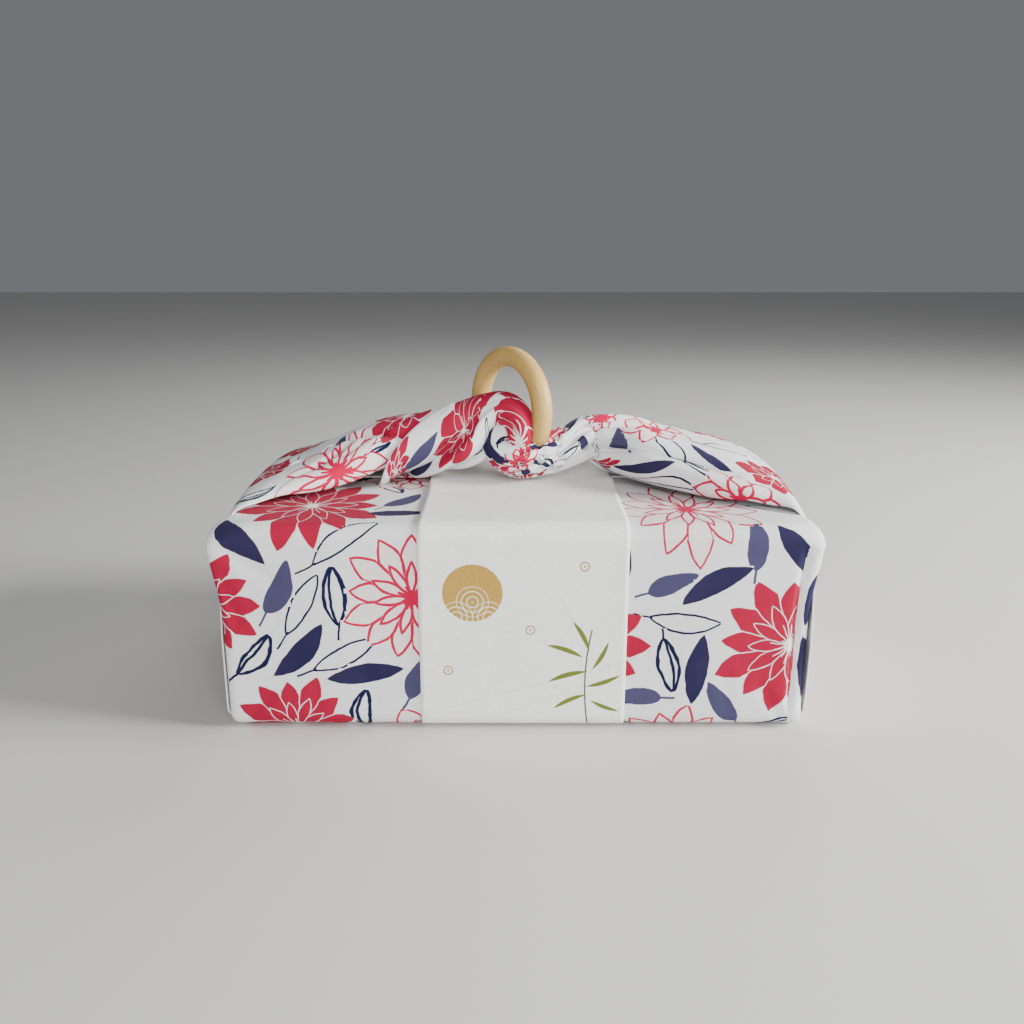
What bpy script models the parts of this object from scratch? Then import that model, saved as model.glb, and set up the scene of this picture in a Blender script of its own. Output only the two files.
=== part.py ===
"""Furoshiki wrap: one square of cotton tied round a box, with a wooden ring in the knot.

Run with: blender --background --python part.py

Frame: metres, +Z up. The origin is the middle of the footprint, on the surface that the
bundle stands on. +X runs along the box's long side and -Y is the front.

The cloth is one sheet. Its front and back corners are folded over the box and lie on each
other on the top. Its two other corners rise up the ends of the box as wide strips, arch over
the top as gathered ears, roll up into ropes and are knotted in the middle through the ring.
"""

import math

import bmesh
import bpy
import numpy as np

MM = 0.001

# Cloth sheet
CLOTH = 1.2 * MM
EAR_CLOTH = 1.4 * MM
GAP = 0.35 * MM

# Cloth body, outer sizes
BODY_FRONT = -81.0 * MM
BODY_BACK = 81.0 * MM
BODY_LEFT = -126.0 * MM
BODY_RIGHT = 129.5 * MM
BODY_TOP = 94.0 * MM
TOP_ROUND = 7.0 * MM
BOTTOM_ROUND = 7.0 * MM
END_ROUND = 3.5 * MM
CORNER_STEPS = 3

# Flaps on the top: the front one lies below, the back one laps over it
FRONT_FLAP_END = 40.0 * MM
BACK_FLAP_END = 2.0 * MM
BACK_FLAP_RISE = 1.6 * MM
BACK_FLAP_RAMP = 32.0 * MM
FRONT_FLAP_IN = 2.4 * MM

# The sheet turns in round the ends of the box, to the tucks that lie flat under the strips
LIP = 1.0 * MM
TUCK_INSET = 4.0 * MM
TUCK_DEPTH = 0.4 * MM

# Slack of the cloth over the box, and the upright crease beside its right end
SLACK = 1.2 * MM
SLACK_END = 125.0 * MM
CREASE_X = 123.0 * MM
CREASE_DEPTH = 2.6 * MM
CREASE_WIDTH = 1.3 * MM
CREASE_STEP = 1.2 * MM

# Paper band round the middle, over the cloth and under the knot
BAND_X = 4.8 * MM
BAND_WIDTH = 90.0 * MM
BAND_PAPER = 0.5 * MM
BAND_STEP = 5.0 * MM
# The band climbs onto the back flap between these distances from the flap's edge
BAND_CLIMB_START = -28.0 * MM
BAND_CLIMB_END = -8.0 * MM
BAND_CLIMB_ROUND = 20.0 * MM
BAND_SEAM = 4.0 * MM

# Box
BOX_LEFT = -123.0 * MM
BOX_RIGHT = 124.5 * MM
BOX_CLEAR = 0.8 * MM
BOX_EDGE = 8.0 * MM

# Ring
RING_RADIUS = 25.0 * MM
RING_WOOD = 5.0 * MM
RING_CENTRE = (-0.8 * MM, 8.0 * MM, 130.0 * MM)
RING_TURN = math.radians(-52.5)
RING_PLAY = 0.4 * MM

# Ears and ropes. A row is one section: the place of its axis, half its width, how far its
# crown stands over the axis, the angle that the sheet wraps to each side of the crown, how
# far the section has been twisted, and how deep its folds are as a share of its size.
# Columns, in mm and degrees: x, y, z, half, rise, wrap, twist, fold
LEFT_EAR = (
    (-108.0, 0.0, 0.2, 76.0, 0.0, 60, 0, 0.00),
    (-121.0, 0.0, 0.2, 76.0, 0.0, 60, 0, 0.00),
    (-126.0, 0.0, 2.0, 76.0, 0.2, 60, 0, 0.00),
    (-127.6, 0.0, 7.0, 75.5, 0.6, 60, 0, 0.00),
    (-127.8, 0.0, 40.0, 74.0, 1.8, 60, 0, 0.00),
    (-127.8, 1.0, 75.0, 71.0, 2.2, 60, 0, 0.01),
    (-126.8, 2.0, 89.0, 67.5, 2.6, 62, 0, 0.01),
    (-122.4, 3.0, 95.6, 63.5, 4.0, 68, 0, 0.02),
    (-114.0, 4.0, 97.2, 59.0, 7.0, 79, 0, 0.03),
    (-105.0, 5.0, 97.4, 54.5, 10.0, 90, 0, 0.06),
    (-94.5, 5.0, 98.2, 48.5, 13.4, 102, 2, 0.11),
    (-82.0, 4.0, 101.4, 40.0, 15.2, 118, 8, 0.14),
    (-70.0, 2.0, 106.4, 31.0, 16.0, 138, 20, 0.17),
    (-58.0, 0.0, 110.0, 23.5, 16.4, 160, 45, 0.19),
    (-46.0, -2.0, 112.3, 19.5, 16.8, 180, 75, 0.20),
    (-34.0, -3.0, 115.6, 18.0, 17.2, 180, 105, 0.20),
    (-22.0, -4.0, 119.4, 17.2, 17.4, 180, 132, 0.20),
    (-11.0, -4.5, 127.0, 12.6, 13.2, 180, 155, 0.18),
    (-3.0, -7.0, 130.0, 9.6, 10.6, 180, 170, 0.16),
    (2.5, -11.0, 126.5, 8.0, 8.6, 180, 180, 0.14),
    (4.0, -12.0, 119.5, 7.0, 7.2, 180, 185, 0.12),
    (2.0, -9.0, 112.0, 6.0, 6.0, 180, 190, 0.10),
    (0.5, -3.0, 108.5, 6.0, 5.5, 180, 190, 0.08),
)
RIGHT_EAR = (
    (112.0, 0.0, 0.2, 76.0, 0.0, 60, 0, 0.00),
    (124.5, 0.0, 0.2, 76.0, 0.0, 60, 0, 0.00),
    (129.5, 0.0, 2.0, 76.0, 0.2, 60, 0, 0.00),
    (131.1, 0.0, 7.0, 76.0, 0.6, 60, 0, 0.00),
    (131.3, 0.0, 40.0, 76.0, 1.8, 60, 0, 0.00),
    (131.3, 1.0, 75.0, 74.0, 2.4, 60, 0, 0.01),
    (130.3, 3.0, 89.5, 69.5, 3.4, 62, 0, 0.02),
    (125.5, 5.5, 96.4, 64.5, 6.2, 72, 0, 0.02),
    (116.0, 7.0, 97.4, 61.0, 10.6, 82, 0, 0.03),
    (105.0, 7.0, 98.0, 58.0, 14.4, 92, 0, 0.06),
    (93.0, 7.0, 99.2, 53.5, 16.4, 103, 0, 0.09),
    (80.0, 7.0, 101.8, 46.5, 17.2, 114, 0, 0.11),
    (68.0, 6.0, 105.5, 38.5, 17.0, 127, -4, 0.13),
    (57.0, 5.0, 110.0, 29.5, 17.0, 142, -12, 0.15),
    (47.0, 4.0, 114.0, 19.0, 15.2, 164, -25, 0.17),
    (38.0, 2.0, 116.0, 13.2, 12.8, 180, -42, 0.18),
    (29.0, -1.0, 112.8, 12.0, 11.4, 180, -60, 0.19),
    (21.0, -4.0, 110.4, 11.4, 10.8, 180, -75, 0.19),
    (12.0, -8.0, 109.2, 11.2, 10.6, 180, -88, 0.19),
    (3.0, -11.0, 108.3, 10.4, 10.4, 180, -98, 0.18),
    (-5.0, -11.0, 110.5, 8.4, 8.6, 180, -106, 0.17),
    (-8.5, -9.0, 116.5, 6.5, 6.0, 180, -112, 0.15),
    (-9.0, -4.0, 122.0, 5.5, 5.0, 180, -116, 0.12),
)
# A sheet ends at this row. Its rope begins a row before, inside the sheet, and takes over there.
LEFT_SHEET_END = 13
RIGHT_SHEET_END = 14
ROPE_START = 0.60
ROPE_SIZE = 1.015
ROPE_WRAP = 172.0
OPEN_WRAP = 110.0
ROLLED_WRAP = 170.0
# Where the valleys between the folds lie across a sheet, from its front hem at -1
LEFT_VALLEYS = (-1.0, -0.62, -0.30, 0.16, 0.60, 1.0)
RIGHT_VALLEYS = (-1.0, -0.70, -0.22, 0.20, 0.62, 1.0)
FOLD_LEAN = 0.75
FOLD_ROUND = 0.7
FOLD_STEPS = 4
ROW_STEPS = 2
TOP_ROW = 5

# The two corners of the cloth that come out of the back of the knot, in mm: x, y, z, half, rise
LEFT_TIP = (
    (1.0, 4.0, 111.0, 6.0, 6.0),
    (6.0, 14.0, 111.5, 8.0, 6.0),
    (13.0, 25.0, 107.5, 10.0, 4.5),
    (20.0, 36.0, 102.5, 9.0, 3.2),
    (26.0, 47.0, 99.2, 5.0, 2.0),
    (30.0, 55.0, 98.2, 1.2, 1.0),
)
RIGHT_TIP = (
    (-4.0, 2.0, 120.0, 6.0, 6.0),
    (-11.0, 12.0, 119.0, 8.5, 6.0),
    (-18.0, 23.0, 113.0, 10.5, 4.5),
    (-25.0, 34.0, 105.5, 10.0, 3.4),
    (-31.0, 44.0, 100.4, 6.0, 2.2),
    (-35.0, 52.0, 98.6, 1.2, 1.0),
)
TIP_SIDES = 12

# The packed folds inside the knot
KNOT_CENTRE = (-1.0 * MM, 0.0, 114.0 * MM)
KNOT_SIZE = (11.0 * MM, 12.0 * MM, 13.5 * MM)

COTTON = ("cotton", (0.86, 0.85, 0.83, 1.0), 0.85)
PAPER = ("washi_paper", (0.87, 0.88, 0.88, 1.0), 0.8)
WOOD = ("beech", (0.72, 0.58, 0.40, 1.0), 0.55)
BOARD = ("box_board", (0.62, 0.52, 0.40, 1.0), 0.85)


def clear_scene():
    for thing in list(bpy.data.objects):
        bpy.data.objects.remove(thing)


def new_collection(name):
    made = bpy.data.collections.new(name)
    bpy.context.scene.collection.children.link(made)
    return made


def finish(thing, collection, look=None):
    """Moves an object to its collection, and gives it its material or makes it a cutter."""
    for home in list(thing.users_collection):
        home.objects.unlink(thing)
    collection.objects.link(thing)
    if look is None:
        thing.hide_render = True
        thing.display_type = "WIRE"
        return thing
    name, colour, roughness = look
    material = bpy.data.materials.new(name)
    material.use_nodes = True
    shader = material.node_tree.nodes["Principled BSDF"]
    shader.inputs["Base Color"].default_value = colour
    shader.inputs["Roughness"].default_value = roughness
    shader.inputs["Metallic"].default_value = 0.0
    thing.data.materials.append(material)
    return thing


def smoothstep(value, low, high):
    """0 below low, 1 above high, and a smooth rise between them."""
    share = np.clip((value - low) / (high - low), 0.0, 1.0)
    return share * share * (3.0 - 2.0 * share)


def rounded_path(corners, rounds, straight_steps):
    """The points of a path through corners, each turned with its own round.

    corners has one more point at each end than rounds. straight_steps gives the number of
    steps in which each straight run is cut.
    """
    corners = [np.array(c, float) for c in corners]
    starts, ends, arcs = [corners[0]], [], []
    for before, here, after, size in zip(corners, corners[1:], corners[2:], rounds):
        inward = (before - here) / np.linalg.norm(before - here)
        onward = (after - here) / np.linalg.norm(after - here)
        half_turn = 0.5 * math.acos(float(np.clip(inward @ onward, -1.0, 1.0)))
        reach = size / math.tan(half_turn)
        bisector = (inward + onward) / np.linalg.norm(inward + onward)
        centre = here + bisector * size / math.sin(half_turn)
        first, last = here + inward * reach, here + onward * reach
        sweep = np.linspace(0.0, 1.0, CORNER_STEPS + 1)
        across = math.pi - 2.0 * half_turn
        a, b = first - centre, last - centre
        arc = [
            centre + (math.sin((1.0 - k) * across) * a + math.sin(k * across) * b) / math.sin(across)
            for k in sweep
        ]
        ends.append(first)
        arcs.append(arc)
        starts.append(last)
    ends.append(corners[-1])
    path = []
    for run, (start, end, steps) in enumerate(zip(starts, ends, straight_steps)):
        path += [start + (end - start) * k / steps for k in range(steps + 1)][(run > 0):]
        if run < len(arcs):
            path += arcs[run][1:]
    return np.array(path)


def path_normals(path):
    """Unit normals to the right hand of a path in the Y-Z plane, which point out of the body."""
    along = np.gradient(path, axis=0)
    along /= np.linalg.norm(along, axis=1)[:, None]
    return np.stack([along[:, 1], -along[:, 0]], axis=1)


def grid_object(name, points, flip=False, closed=False):
    """A mesh of quads through a grid of points. closed joins the last column to the first and
    caps both ends."""
    rows, columns = points.shape[:2]
    mesh = bmesh.new()
    corners = [[mesh.verts.new(p) for p in row] for row in points]
    wrap = columns if closed else columns - 1
    for lower, upper in zip(corners, corners[1:]):
        for j in range(wrap):
            k = (j + 1) % columns
            mesh.faces.new((lower[j], lower[k], upper[k], upper[j]))
    if closed:
        mesh.faces.new(corners[0][::-1])
        mesh.faces.new(corners[-1])
        bmesh.ops.recalc_face_normals(mesh, faces=mesh.faces)
    elif flip:
        bmesh.ops.reverse_faces(mesh, faces=mesh.faces)
    data = bpy.data.meshes.new(name)
    mesh.to_mesh(data)
    mesh.free()
    data.shade_smooth()
    made = bpy.data.objects.new(name, data)
    bpy.context.scene.collection.objects.link(made)
    return made


def thicken(thing, thickness):
    """Gives a sheet its thickness, inwards from its outer face."""
    solid = thing.modifiers.new("Thickness", "SOLIDIFY")
    solid.thickness = thickness
    solid.offset = -1.0
    solid.use_even_offset = False
    return thing


def join(thing, pieces):
    """Makes one body of a thing and all the pieces in a collection."""
    boolean = thing.modifiers.new(pieces.name, "BOOLEAN")
    boolean.operation = "UNION"
    boolean.solver = "MANIFOLD"
    boolean.operand_type = "COLLECTION"
    boolean.collection = pieces


def cut(thing, cutter):
    boolean = thing.modifiers.new(cutter.name, "BOOLEAN")
    boolean.operation = "DIFFERENCE"
    boolean.solver = "MANIFOLD"
    boolean.object = cutter


def body_columns():
    """Where the columns of the body sheet lie across it, and how far each is turned in round the
    end of the box, as a place, a turn and the length of its lip."""
    turns = np.linspace(0.0, 90.0, CORNER_STEPS + 1)
    band_left = BAND_X - 0.5 * BAND_WIDTH
    band_right = BAND_X + 0.5 * BAND_WIDTH
    flat = np.concatenate(
        [
            np.linspace(BODY_LEFT + END_ROUND, band_left - BAND_STEP, 5)[1:],
            np.linspace(band_left - 0.2 * BAND_STEP, band_right + 0.2 * BAND_STEP, 4),
            np.linspace(band_right + BAND_STEP, CREASE_X - 3.0 * CREASE_WIDTH, 4),
            CREASE_X + CREASE_WIDTH * np.array([-1.2, 0.0, 1.2]),
        ]
    )
    columns = [(BODY_LEFT, -90.0, LIP)] + [(BODY_LEFT, -turn, 0.0) for turn in turns[::-1]]
    columns += [(x, 0.0, 0.0) for x in flat]
    columns += [(BODY_RIGHT, turn, 0.0) for turn in turns] + [(BODY_RIGHT, 90.0, LIP)]
    return np.array(columns).T


def body_sheet():
    """The sheet over the front, the bottom, the back and the top.

    It is a profile in the Y-Z plane, carried along X and turned in round both ends.
    """
    path = rounded_path(
        (
            (FRONT_FLAP_END, BODY_TOP),
            (BODY_FRONT, BODY_TOP),
            (BODY_FRONT, 0.0),
            (BODY_BACK, 0.0),
            (BODY_BACK, BODY_TOP),
            (BACK_FLAP_END, BODY_TOP),
        ),
        (TOP_ROUND, BOTTOM_ROUND, BOTTOM_ROUND, TOP_ROUND),
        (3, 5, 2, 5, 5),
    )
    normals = path_normals(path)
    on_top = path[:, 1] > BODY_TOP - 1e-6
    behind = np.arange(len(path)) > len(path) // 2
    lap = smoothstep(-path[:, 0], -2.0 * BACK_FLAP_RAMP, -BACK_FLAP_RAMP)
    path[:, 1] += BACK_FLAP_RISE * lap * (on_top & behind)

    place, turn, lip = body_columns()
    angle = np.radians(turn)
    end_x = np.where(place < 0, BODY_LEFT + END_ROUND, BODY_RIGHT - END_ROUND)
    turned = np.isclose(place, BODY_LEFT) | np.isclose(place, BODY_RIGHT)
    x = np.where(turned, end_x + END_ROUND * np.sin(angle), place)
    inward = np.where(turned, END_ROUND * (1.0 - np.cos(angle)), 0.0) + lip

    upright = np.abs(normals[:, 0])
    climb = np.sin(math.pi * np.clip(path[:, 1] / BODY_TOP, 0.0, 1.0))
    panel = np.sin(math.pi * smoothstep(np.abs(x - BAND_X), 0.5 * BAND_WIDTH, SLACK_END))
    inward = inward[None, :] - SLACK * (upright * climb)[:, None] * panel[None, :]

    front = normals[:, 0] < -0.999
    near_crease = np.exp(-(((x - CREASE_X) / CREASE_WIDTH) ** 2))
    past_crease = smoothstep(x, CREASE_X, CREASE_X + 1.2 * CREASE_WIDTH)
    crease = CREASE_DEPTH * near_crease + CREASE_STEP * past_crease
    inward = inward + (front * np.sqrt(climb))[:, None] * crease[None, :]

    covered = smoothstep(path[:, 0], BODY_FRONT + TOP_ROUND, BACK_FLAP_END) * (on_top & ~behind)
    narrow = FRONT_FLAP_IN * covered[:, None] * (x / BODY_RIGHT)[None, :]
    beside_band = smoothstep(np.abs(x - BAND_X), 0.5 * BAND_WIDTH, 0.5 * BAND_WIDTH + BAND_STEP)
    recess = (BAND_PAPER + GAP) * (1.0 - beside_band)
    grid = np.zeros((len(path), len(x), 3))
    grid[:, :, 0] = x[None, :] - narrow
    grid[:, :, 1] = path[:, :1] - normals[:, :1] * inward
    grid[:, :, 2] = path[:, 1:] - normals[:, 1:] * inward
    grid[:, :, 2] += recess[None, :] * (normals[:, 1:] < -0.5)
    return thicken(grid_object("cloth", grid, flip=True), CLOTH)


def tuck(name, place, side):
    """The tucks at one end of the box, which lie on each other under the strip."""
    depth = BODY_BACK - BODY_FRONT - 2.0 * TUCK_INSET
    height = BODY_TOP - 2.0 * TUCK_INSET
    centre_x = place - side * (TUCK_DEPTH + 0.5 * CLOTH)
    bpy.ops.mesh.primitive_cube_add(size=1.0, location=(centre_x, 0.0, 0.5 * BODY_TOP))
    made = bpy.context.object
    made.name = name
    made.scale = (CLOTH, depth, height)
    return made


def smooth_rows(table, first, last):
    """Rows of a table from first to last, with more between them on a smooth curve from the
    row where the top begins.

    Each column is a cubic through the rows, with the slope at a row taken from its two
    neighbours, by the distance between the places.
    """
    rows = np.array(table, float)
    chord = np.linalg.norm(np.diff(rows[:, :3], axis=0), axis=1)
    at = np.concatenate([[0.0], np.cumsum(chord)])
    slope = np.gradient(rows, at, axis=0)
    made = []
    for i in range(first, last):
        step = at[i + 1] - at[i]
        steps = ROW_STEPS if i >= TOP_ROW else 1
        for k in np.arange(steps) / steps:
            made.append(
                (2 * k**3 - 3 * k**2 + 1) * rows[i]
                + (k**3 - 2 * k**2 + k) * step * slope[i]
                + (3 * k**2 - 2 * k**3) * rows[i + 1]
                + (k**3 - k**2) * step * slope[i + 1]
            )
    made.append(rows[last])
    return np.array(made)


def frames(places, wrap, side):
    """Across and outward directions at each place, square to each other.

    Where the sheet is open, across is Y. Where it is rolled up, across is square to the path.
    side is -1 for the left ear and 1 for the right.
    """
    along = np.gradient(places, axis=0)
    along[:, 1] *= smoothstep(wrap, OPEN_WRAP, ROLLED_WRAP)
    along /= np.linalg.norm(along, axis=1)[:, None]
    across = np.array([0.0, 1.0, 0.0]) - along * along[:, 1:2]
    across /= np.linalg.norm(across, axis=1)[:, None]
    return across, np.cross(across, along) * side


def fold_shape(share, valleys):
    """1 on the back of a fold and 0 in a valley, with the fold leaning to one side."""
    valleys = np.array(valleys)
    i = np.clip(np.searchsorted(valleys, share, side="right") - 1, 0, len(valleys) - 2)
    local = (share - valleys[i]) / (valleys[i + 1] - valleys[i])
    return np.sin(math.pi * np.clip(local, 0.0, 1.0) ** FOLD_LEAN) ** FOLD_ROUND


def fold_shares(valleys):
    """Places across a sheet, with a column in each valley."""
    return np.concatenate(
        [np.linspace(a, b, FOLD_STEPS + 1)[:-1] for a, b in zip(valleys, valleys[1:])] + [[valleys[-1]]]
    )


def ear_sections(rows, shares, valleys, side, size=None):
    """The grid of points of an ear or a rope.

    A section is an arc of an ellipse about its axis, from -wrap to wrap. Where wrap is under
    90 degrees its ends are level with the axis. Its folds draw it towards the axis.
    """
    places = rows[:, :3] * MM
    across, outward = frames(places, rows[:, 5], side)
    half, rise = rows[:, 3:4] * MM, rows[:, 4:5] * MM
    wrap, twist = np.radians(rows[:, 5:6]), np.radians(rows[:, 6:7])
    fold = rows[:, 7:8]
    angle = wrap * shares[None, :]
    level = np.maximum(np.cos(wrap), 0.0)
    wide = half * np.sin(angle + twist) / np.sin(np.minimum(wrap, math.pi / 2))
    high = rise * (np.cos(angle + twist) - level) / (1.0 - level)
    drawn = 1.0 - fold * (1.0 - fold_shape(shares, valleys))[None, :]
    if size is not None:
        drawn = drawn * size[:, None]
    return (
        places[:, None, :]
        + (wide * drawn)[:, :, None] * across[:, None, :]
        + (high * drawn)[:, :, None] * outward[:, None, :]
    )


def ear_sheet(name, table, last, valleys, side):
    """The sheet of one ear, from under the box up its end and over the top."""
    rows = smooth_rows(table, 0, last)
    grid = ear_sections(rows, fold_shares(valleys), valleys, side)
    return thicken(grid_object(name, grid, flip=side < 0), EAR_CLOTH)


def ear_rope(name, table, first, valleys, side):
    """The rope that an ear is rolled into, solid with its packed folds."""
    rows = smooth_rows(table, first, len(table) - 1)
    rows[:, 5] = np.minimum(rows[:, 5], ROPE_WRAP)
    size = np.full(len(rows), ROPE_SIZE)
    size[0] = ROPE_START
    grid = ear_sections(rows, fold_shares(valleys), valleys, side, size)
    return grid_object(name, grid, closed=True)


def tip(name, table):
    """A corner of the cloth that comes out of the knot, folded flat and ending in a point."""
    rows = np.array(table)
    places = rows[:, :3] * MM
    along = np.gradient(places, axis=0)
    along /= np.linalg.norm(along, axis=1)[:, None]
    across = np.cross(along, np.array([0.0, 0.0, 1.0]))
    across /= np.linalg.norm(across, axis=1)[:, None]
    upward = np.cross(across, along)
    angle = np.linspace(0.0, 2.0 * math.pi, TIP_SIDES, endpoint=False)
    grid = (
        places[:, None, :]
        + rows[:, 3, None, None] * MM * np.cos(angle)[None, :, None] * across[:, None, :]
        + rows[:, 4, None, None] * MM * np.sin(angle)[None, :, None] * upward[:, None, :]
    )
    return grid_object(name, grid, closed=True)


def knot_heart():
    bpy.ops.mesh.primitive_uv_sphere_add(segments=16, ring_count=10, location=KNOT_CENTRE)
    made = bpy.context.object
    made.name = "knot_heart"
    made.scale = KNOT_SIZE
    return made


def torus(name, wood):
    bpy.ops.mesh.primitive_torus_add(
        major_radius=RING_RADIUS,
        minor_radius=wood,
        major_segments=48,
        minor_segments=14,
        location=RING_CENTRE,
        rotation=(math.pi / 2, 0.0, RING_TURN),
    )
    made = bpy.context.object
    made.name = name
    made.data.shade_smooth()
    return made


def cloth(parts, cutters):
    """The whole cloth: its body, ears, ropes and tips in one."""
    made = body_sheet()
    folds = new_collection("cloth_folds")
    pieces = [
        ear_sheet("left_ear", LEFT_EAR, LEFT_SHEET_END, LEFT_VALLEYS, -1.0),
        ear_sheet("right_ear", RIGHT_EAR, RIGHT_SHEET_END, RIGHT_VALLEYS, 1.0),
        ear_rope("left_rope", LEFT_EAR, LEFT_SHEET_END - 1, LEFT_VALLEYS, -1.0),
        ear_rope("right_rope", RIGHT_EAR, RIGHT_SHEET_END - 1, RIGHT_VALLEYS, 1.0),
        tuck("left_tuck", BODY_LEFT, -1.0),
        tuck("right_tuck", BODY_RIGHT, 1.0),
        knot_heart(),
        tip("left_tip", LEFT_TIP),
        tip("right_tip", RIGHT_TIP),
    ]
    for piece in pieces:
        finish(piece, folds)
    join(made, folds)
    cut(made, finish(torus("ring_seat", RING_WOOD + RING_PLAY), cutters))
    return finish(made, parts, COTTON)


def band(parts):
    """The paper band: a loop round the body, as a ribbon of the paper's width, thickened."""
    clear = GAP
    top = BODY_TOP + clear
    lap = BACK_FLAP_RISE
    path = rounded_path(
        (
            (BACK_FLAP_END + BAND_SEAM, top + lap),
            (BACK_FLAP_END + BAND_CLIMB_END, top + lap),
            (BACK_FLAP_END + BAND_CLIMB_START, top),
            (BODY_FRONT - clear, top),
            (BODY_FRONT - clear, BAND_PAPER),
            (BODY_BACK + clear, BAND_PAPER),
            (BODY_BACK + clear, top),
            (2.0 * BACK_FLAP_RAMP, top),
            (BACK_FLAP_RAMP, top + lap),
            (BACK_FLAP_END + BAND_SEAM, top + lap),
        ),
        (
            BAND_CLIMB_ROUND,
            BAND_CLIMB_ROUND,
            TOP_ROUND + clear,
            BOTTOM_ROUND - BAND_PAPER,
            BOTTOM_ROUND - BAND_PAPER,
            TOP_ROUND + clear,
            BAND_CLIMB_ROUND,
            BAND_CLIMB_ROUND,
        ),
        (1, 1, 1, 2, 2, 2, 1, 1, 1),
    )[:-1]
    curve = bpy.data.curves.new("band", "CURVE")
    curve.dimensions = "2D"
    curve.fill_mode = "NONE"
    curve.extrude = 0.5 * BAND_WIDTH
    spline = curve.splines.new("POLY")
    spline.points.add(len(path) - 1)
    for point, (y, z) in zip(spline.points, path):
        point.co = (y, z, 0.0, 1.0)
    spline.use_cyclic_u = True
    ribbon = bpy.data.objects.new("band", curve)
    ribbon.location = (BAND_X, 0.0, 0.0)
    ribbon.rotation_euler = (math.pi / 2, 0.0, math.pi / 2)
    bpy.context.scene.collection.objects.link(ribbon)
    solid = ribbon.modifiers.new("Thickness", "SOLIDIFY")
    solid.thickness = BAND_PAPER
    solid.offset = 1.0
    solid.use_even_offset = True
    return finish(ribbon, parts, PAPER)


def box(parts):
    """The box, plain: the cloth hides it."""
    floor = BAND_PAPER + GAP + CLOTH + GAP
    ceiling = BODY_TOP - CLOTH - BOX_CLEAR
    front = BODY_FRONT + CLOTH + BOX_CLEAR
    back = BODY_BACK - CLOTH - BOX_CLEAR
    bpy.ops.mesh.primitive_cube_add(
        size=1.0, location=(0.5 * (BOX_LEFT + BOX_RIGHT), 0.5 * (front + back), 0.5 * (floor + ceiling))
    )
    made = bpy.context.object
    made.name = "box"
    made.scale = (BOX_RIGHT - BOX_LEFT, back - front, ceiling - floor)
    bpy.ops.object.transform_apply(location=False, rotation=False, scale=True)
    bevel = made.modifiers.new("Edges", "BEVEL")
    bevel.width = BOX_EDGE
    bevel.segments = 3
    return finish(made, parts, BOARD)


def main():
    clear_scene()
    parts = new_collection("furoshiki_wrap")
    cutters = new_collection("cutters")
    box(parts)
    cloth(parts, cutters)
    band(parts)
    finish(torus("ring", RING_WOOD), parts, WOOD)


main()
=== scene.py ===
"""Furoshiki wrap: a printed cotton cloth tied round a box, with a wooden ring in its knot.

Frame: metres, +Z up. The origin is the middle of the footprint, +X runs along the box's long
side and -Y is the front. The cloth, the paper band and the ring are fine surfaces that stand
for their solids. Lengths in the tables are in millimetres and angles in degrees.
"""

from __future__ import annotations

import logging
import math
from collections.abc import Callable
from dataclasses import dataclass
from enum import Enum, IntEnum
from functools import partial

import bpy
import numpy as np
from mathutils import Euler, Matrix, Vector


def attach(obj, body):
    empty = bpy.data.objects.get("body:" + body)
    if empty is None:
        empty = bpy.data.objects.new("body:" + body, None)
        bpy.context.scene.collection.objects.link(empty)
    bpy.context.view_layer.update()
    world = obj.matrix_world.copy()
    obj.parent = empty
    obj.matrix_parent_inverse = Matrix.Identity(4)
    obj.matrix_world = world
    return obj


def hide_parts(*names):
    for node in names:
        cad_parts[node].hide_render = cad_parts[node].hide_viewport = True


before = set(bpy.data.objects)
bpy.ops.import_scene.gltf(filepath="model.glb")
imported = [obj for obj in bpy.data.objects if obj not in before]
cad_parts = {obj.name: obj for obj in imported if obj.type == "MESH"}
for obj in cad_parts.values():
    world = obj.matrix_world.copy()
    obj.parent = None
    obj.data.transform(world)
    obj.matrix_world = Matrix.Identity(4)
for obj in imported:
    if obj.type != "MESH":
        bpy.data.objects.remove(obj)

LOG = logging.getLogger("furoshiki_wrap")
MM = 0.001
TAU = 2.0 * math.pi
ROOT = "root"

# Places that several pieces share.
LEFT_END, RIGHT_END = -126.0, 129.5
TOP = 94.0
BAND_MIDDLE, BAND_WIDTH = 4.8, 90.0
RING_TURN = -52.5
NO_HEM = 99.0

Array = np.ndarray
Colour = tuple[float, float, float, float]
Place = tuple[float, float]
Object = bpy.types.Object
Material = bpy.types.Material


# Numbers and curves


def colour(code: str) -> Colour:
    """Turns a colour written as six hex digits into linear red, green, blue and alpha.

    Args:
        code: the colour, such as "CF4059".

    Returns:
        The colour in linear light, by the sRGB curve.
    """
    parts = np.array([int(code[k : k + 2], 16) for k in (0, 2, 4)]) / 255.0
    linear = np.where(parts <= 0.04045, parts / 12.92, ((parts + 0.055) / 1.055) ** 2.4)
    return (*linear.tolist(), 1.0)


def smoothstep(value: Array, low: float, high: float) -> Array:
    """0 below low, 1 above high, and 3s^2 - 2s^3 of the share s between them."""
    share = np.clip((value - low) / (high - low), 0.0, 1.0)
    return share * share * (3.0 - 2.0 * share)


def unit(vectors: Array) -> Array:
    """Vectors divided by their own lengths."""
    return vectors / np.maximum(np.linalg.norm(vectors, axis=-1, keepdims=True), 1e-12)


def outward(steps: Array) -> Array:
    """The outward normals of a profile: its steps, made unit vectors and turned by 90 degrees."""
    along = unit(steps)
    return np.stack([along[:, 1], -along[:, 0]], axis=1)


def turned(x: Field, y: Field, angle: float) -> tuple[Field, Field]:
    """Places along an axis at this angle, in radians, and across it, from those along X and Y."""
    c, s = math.cos(angle), math.sin(angle)
    return x * c + y * s, y * c - x * s


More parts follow.
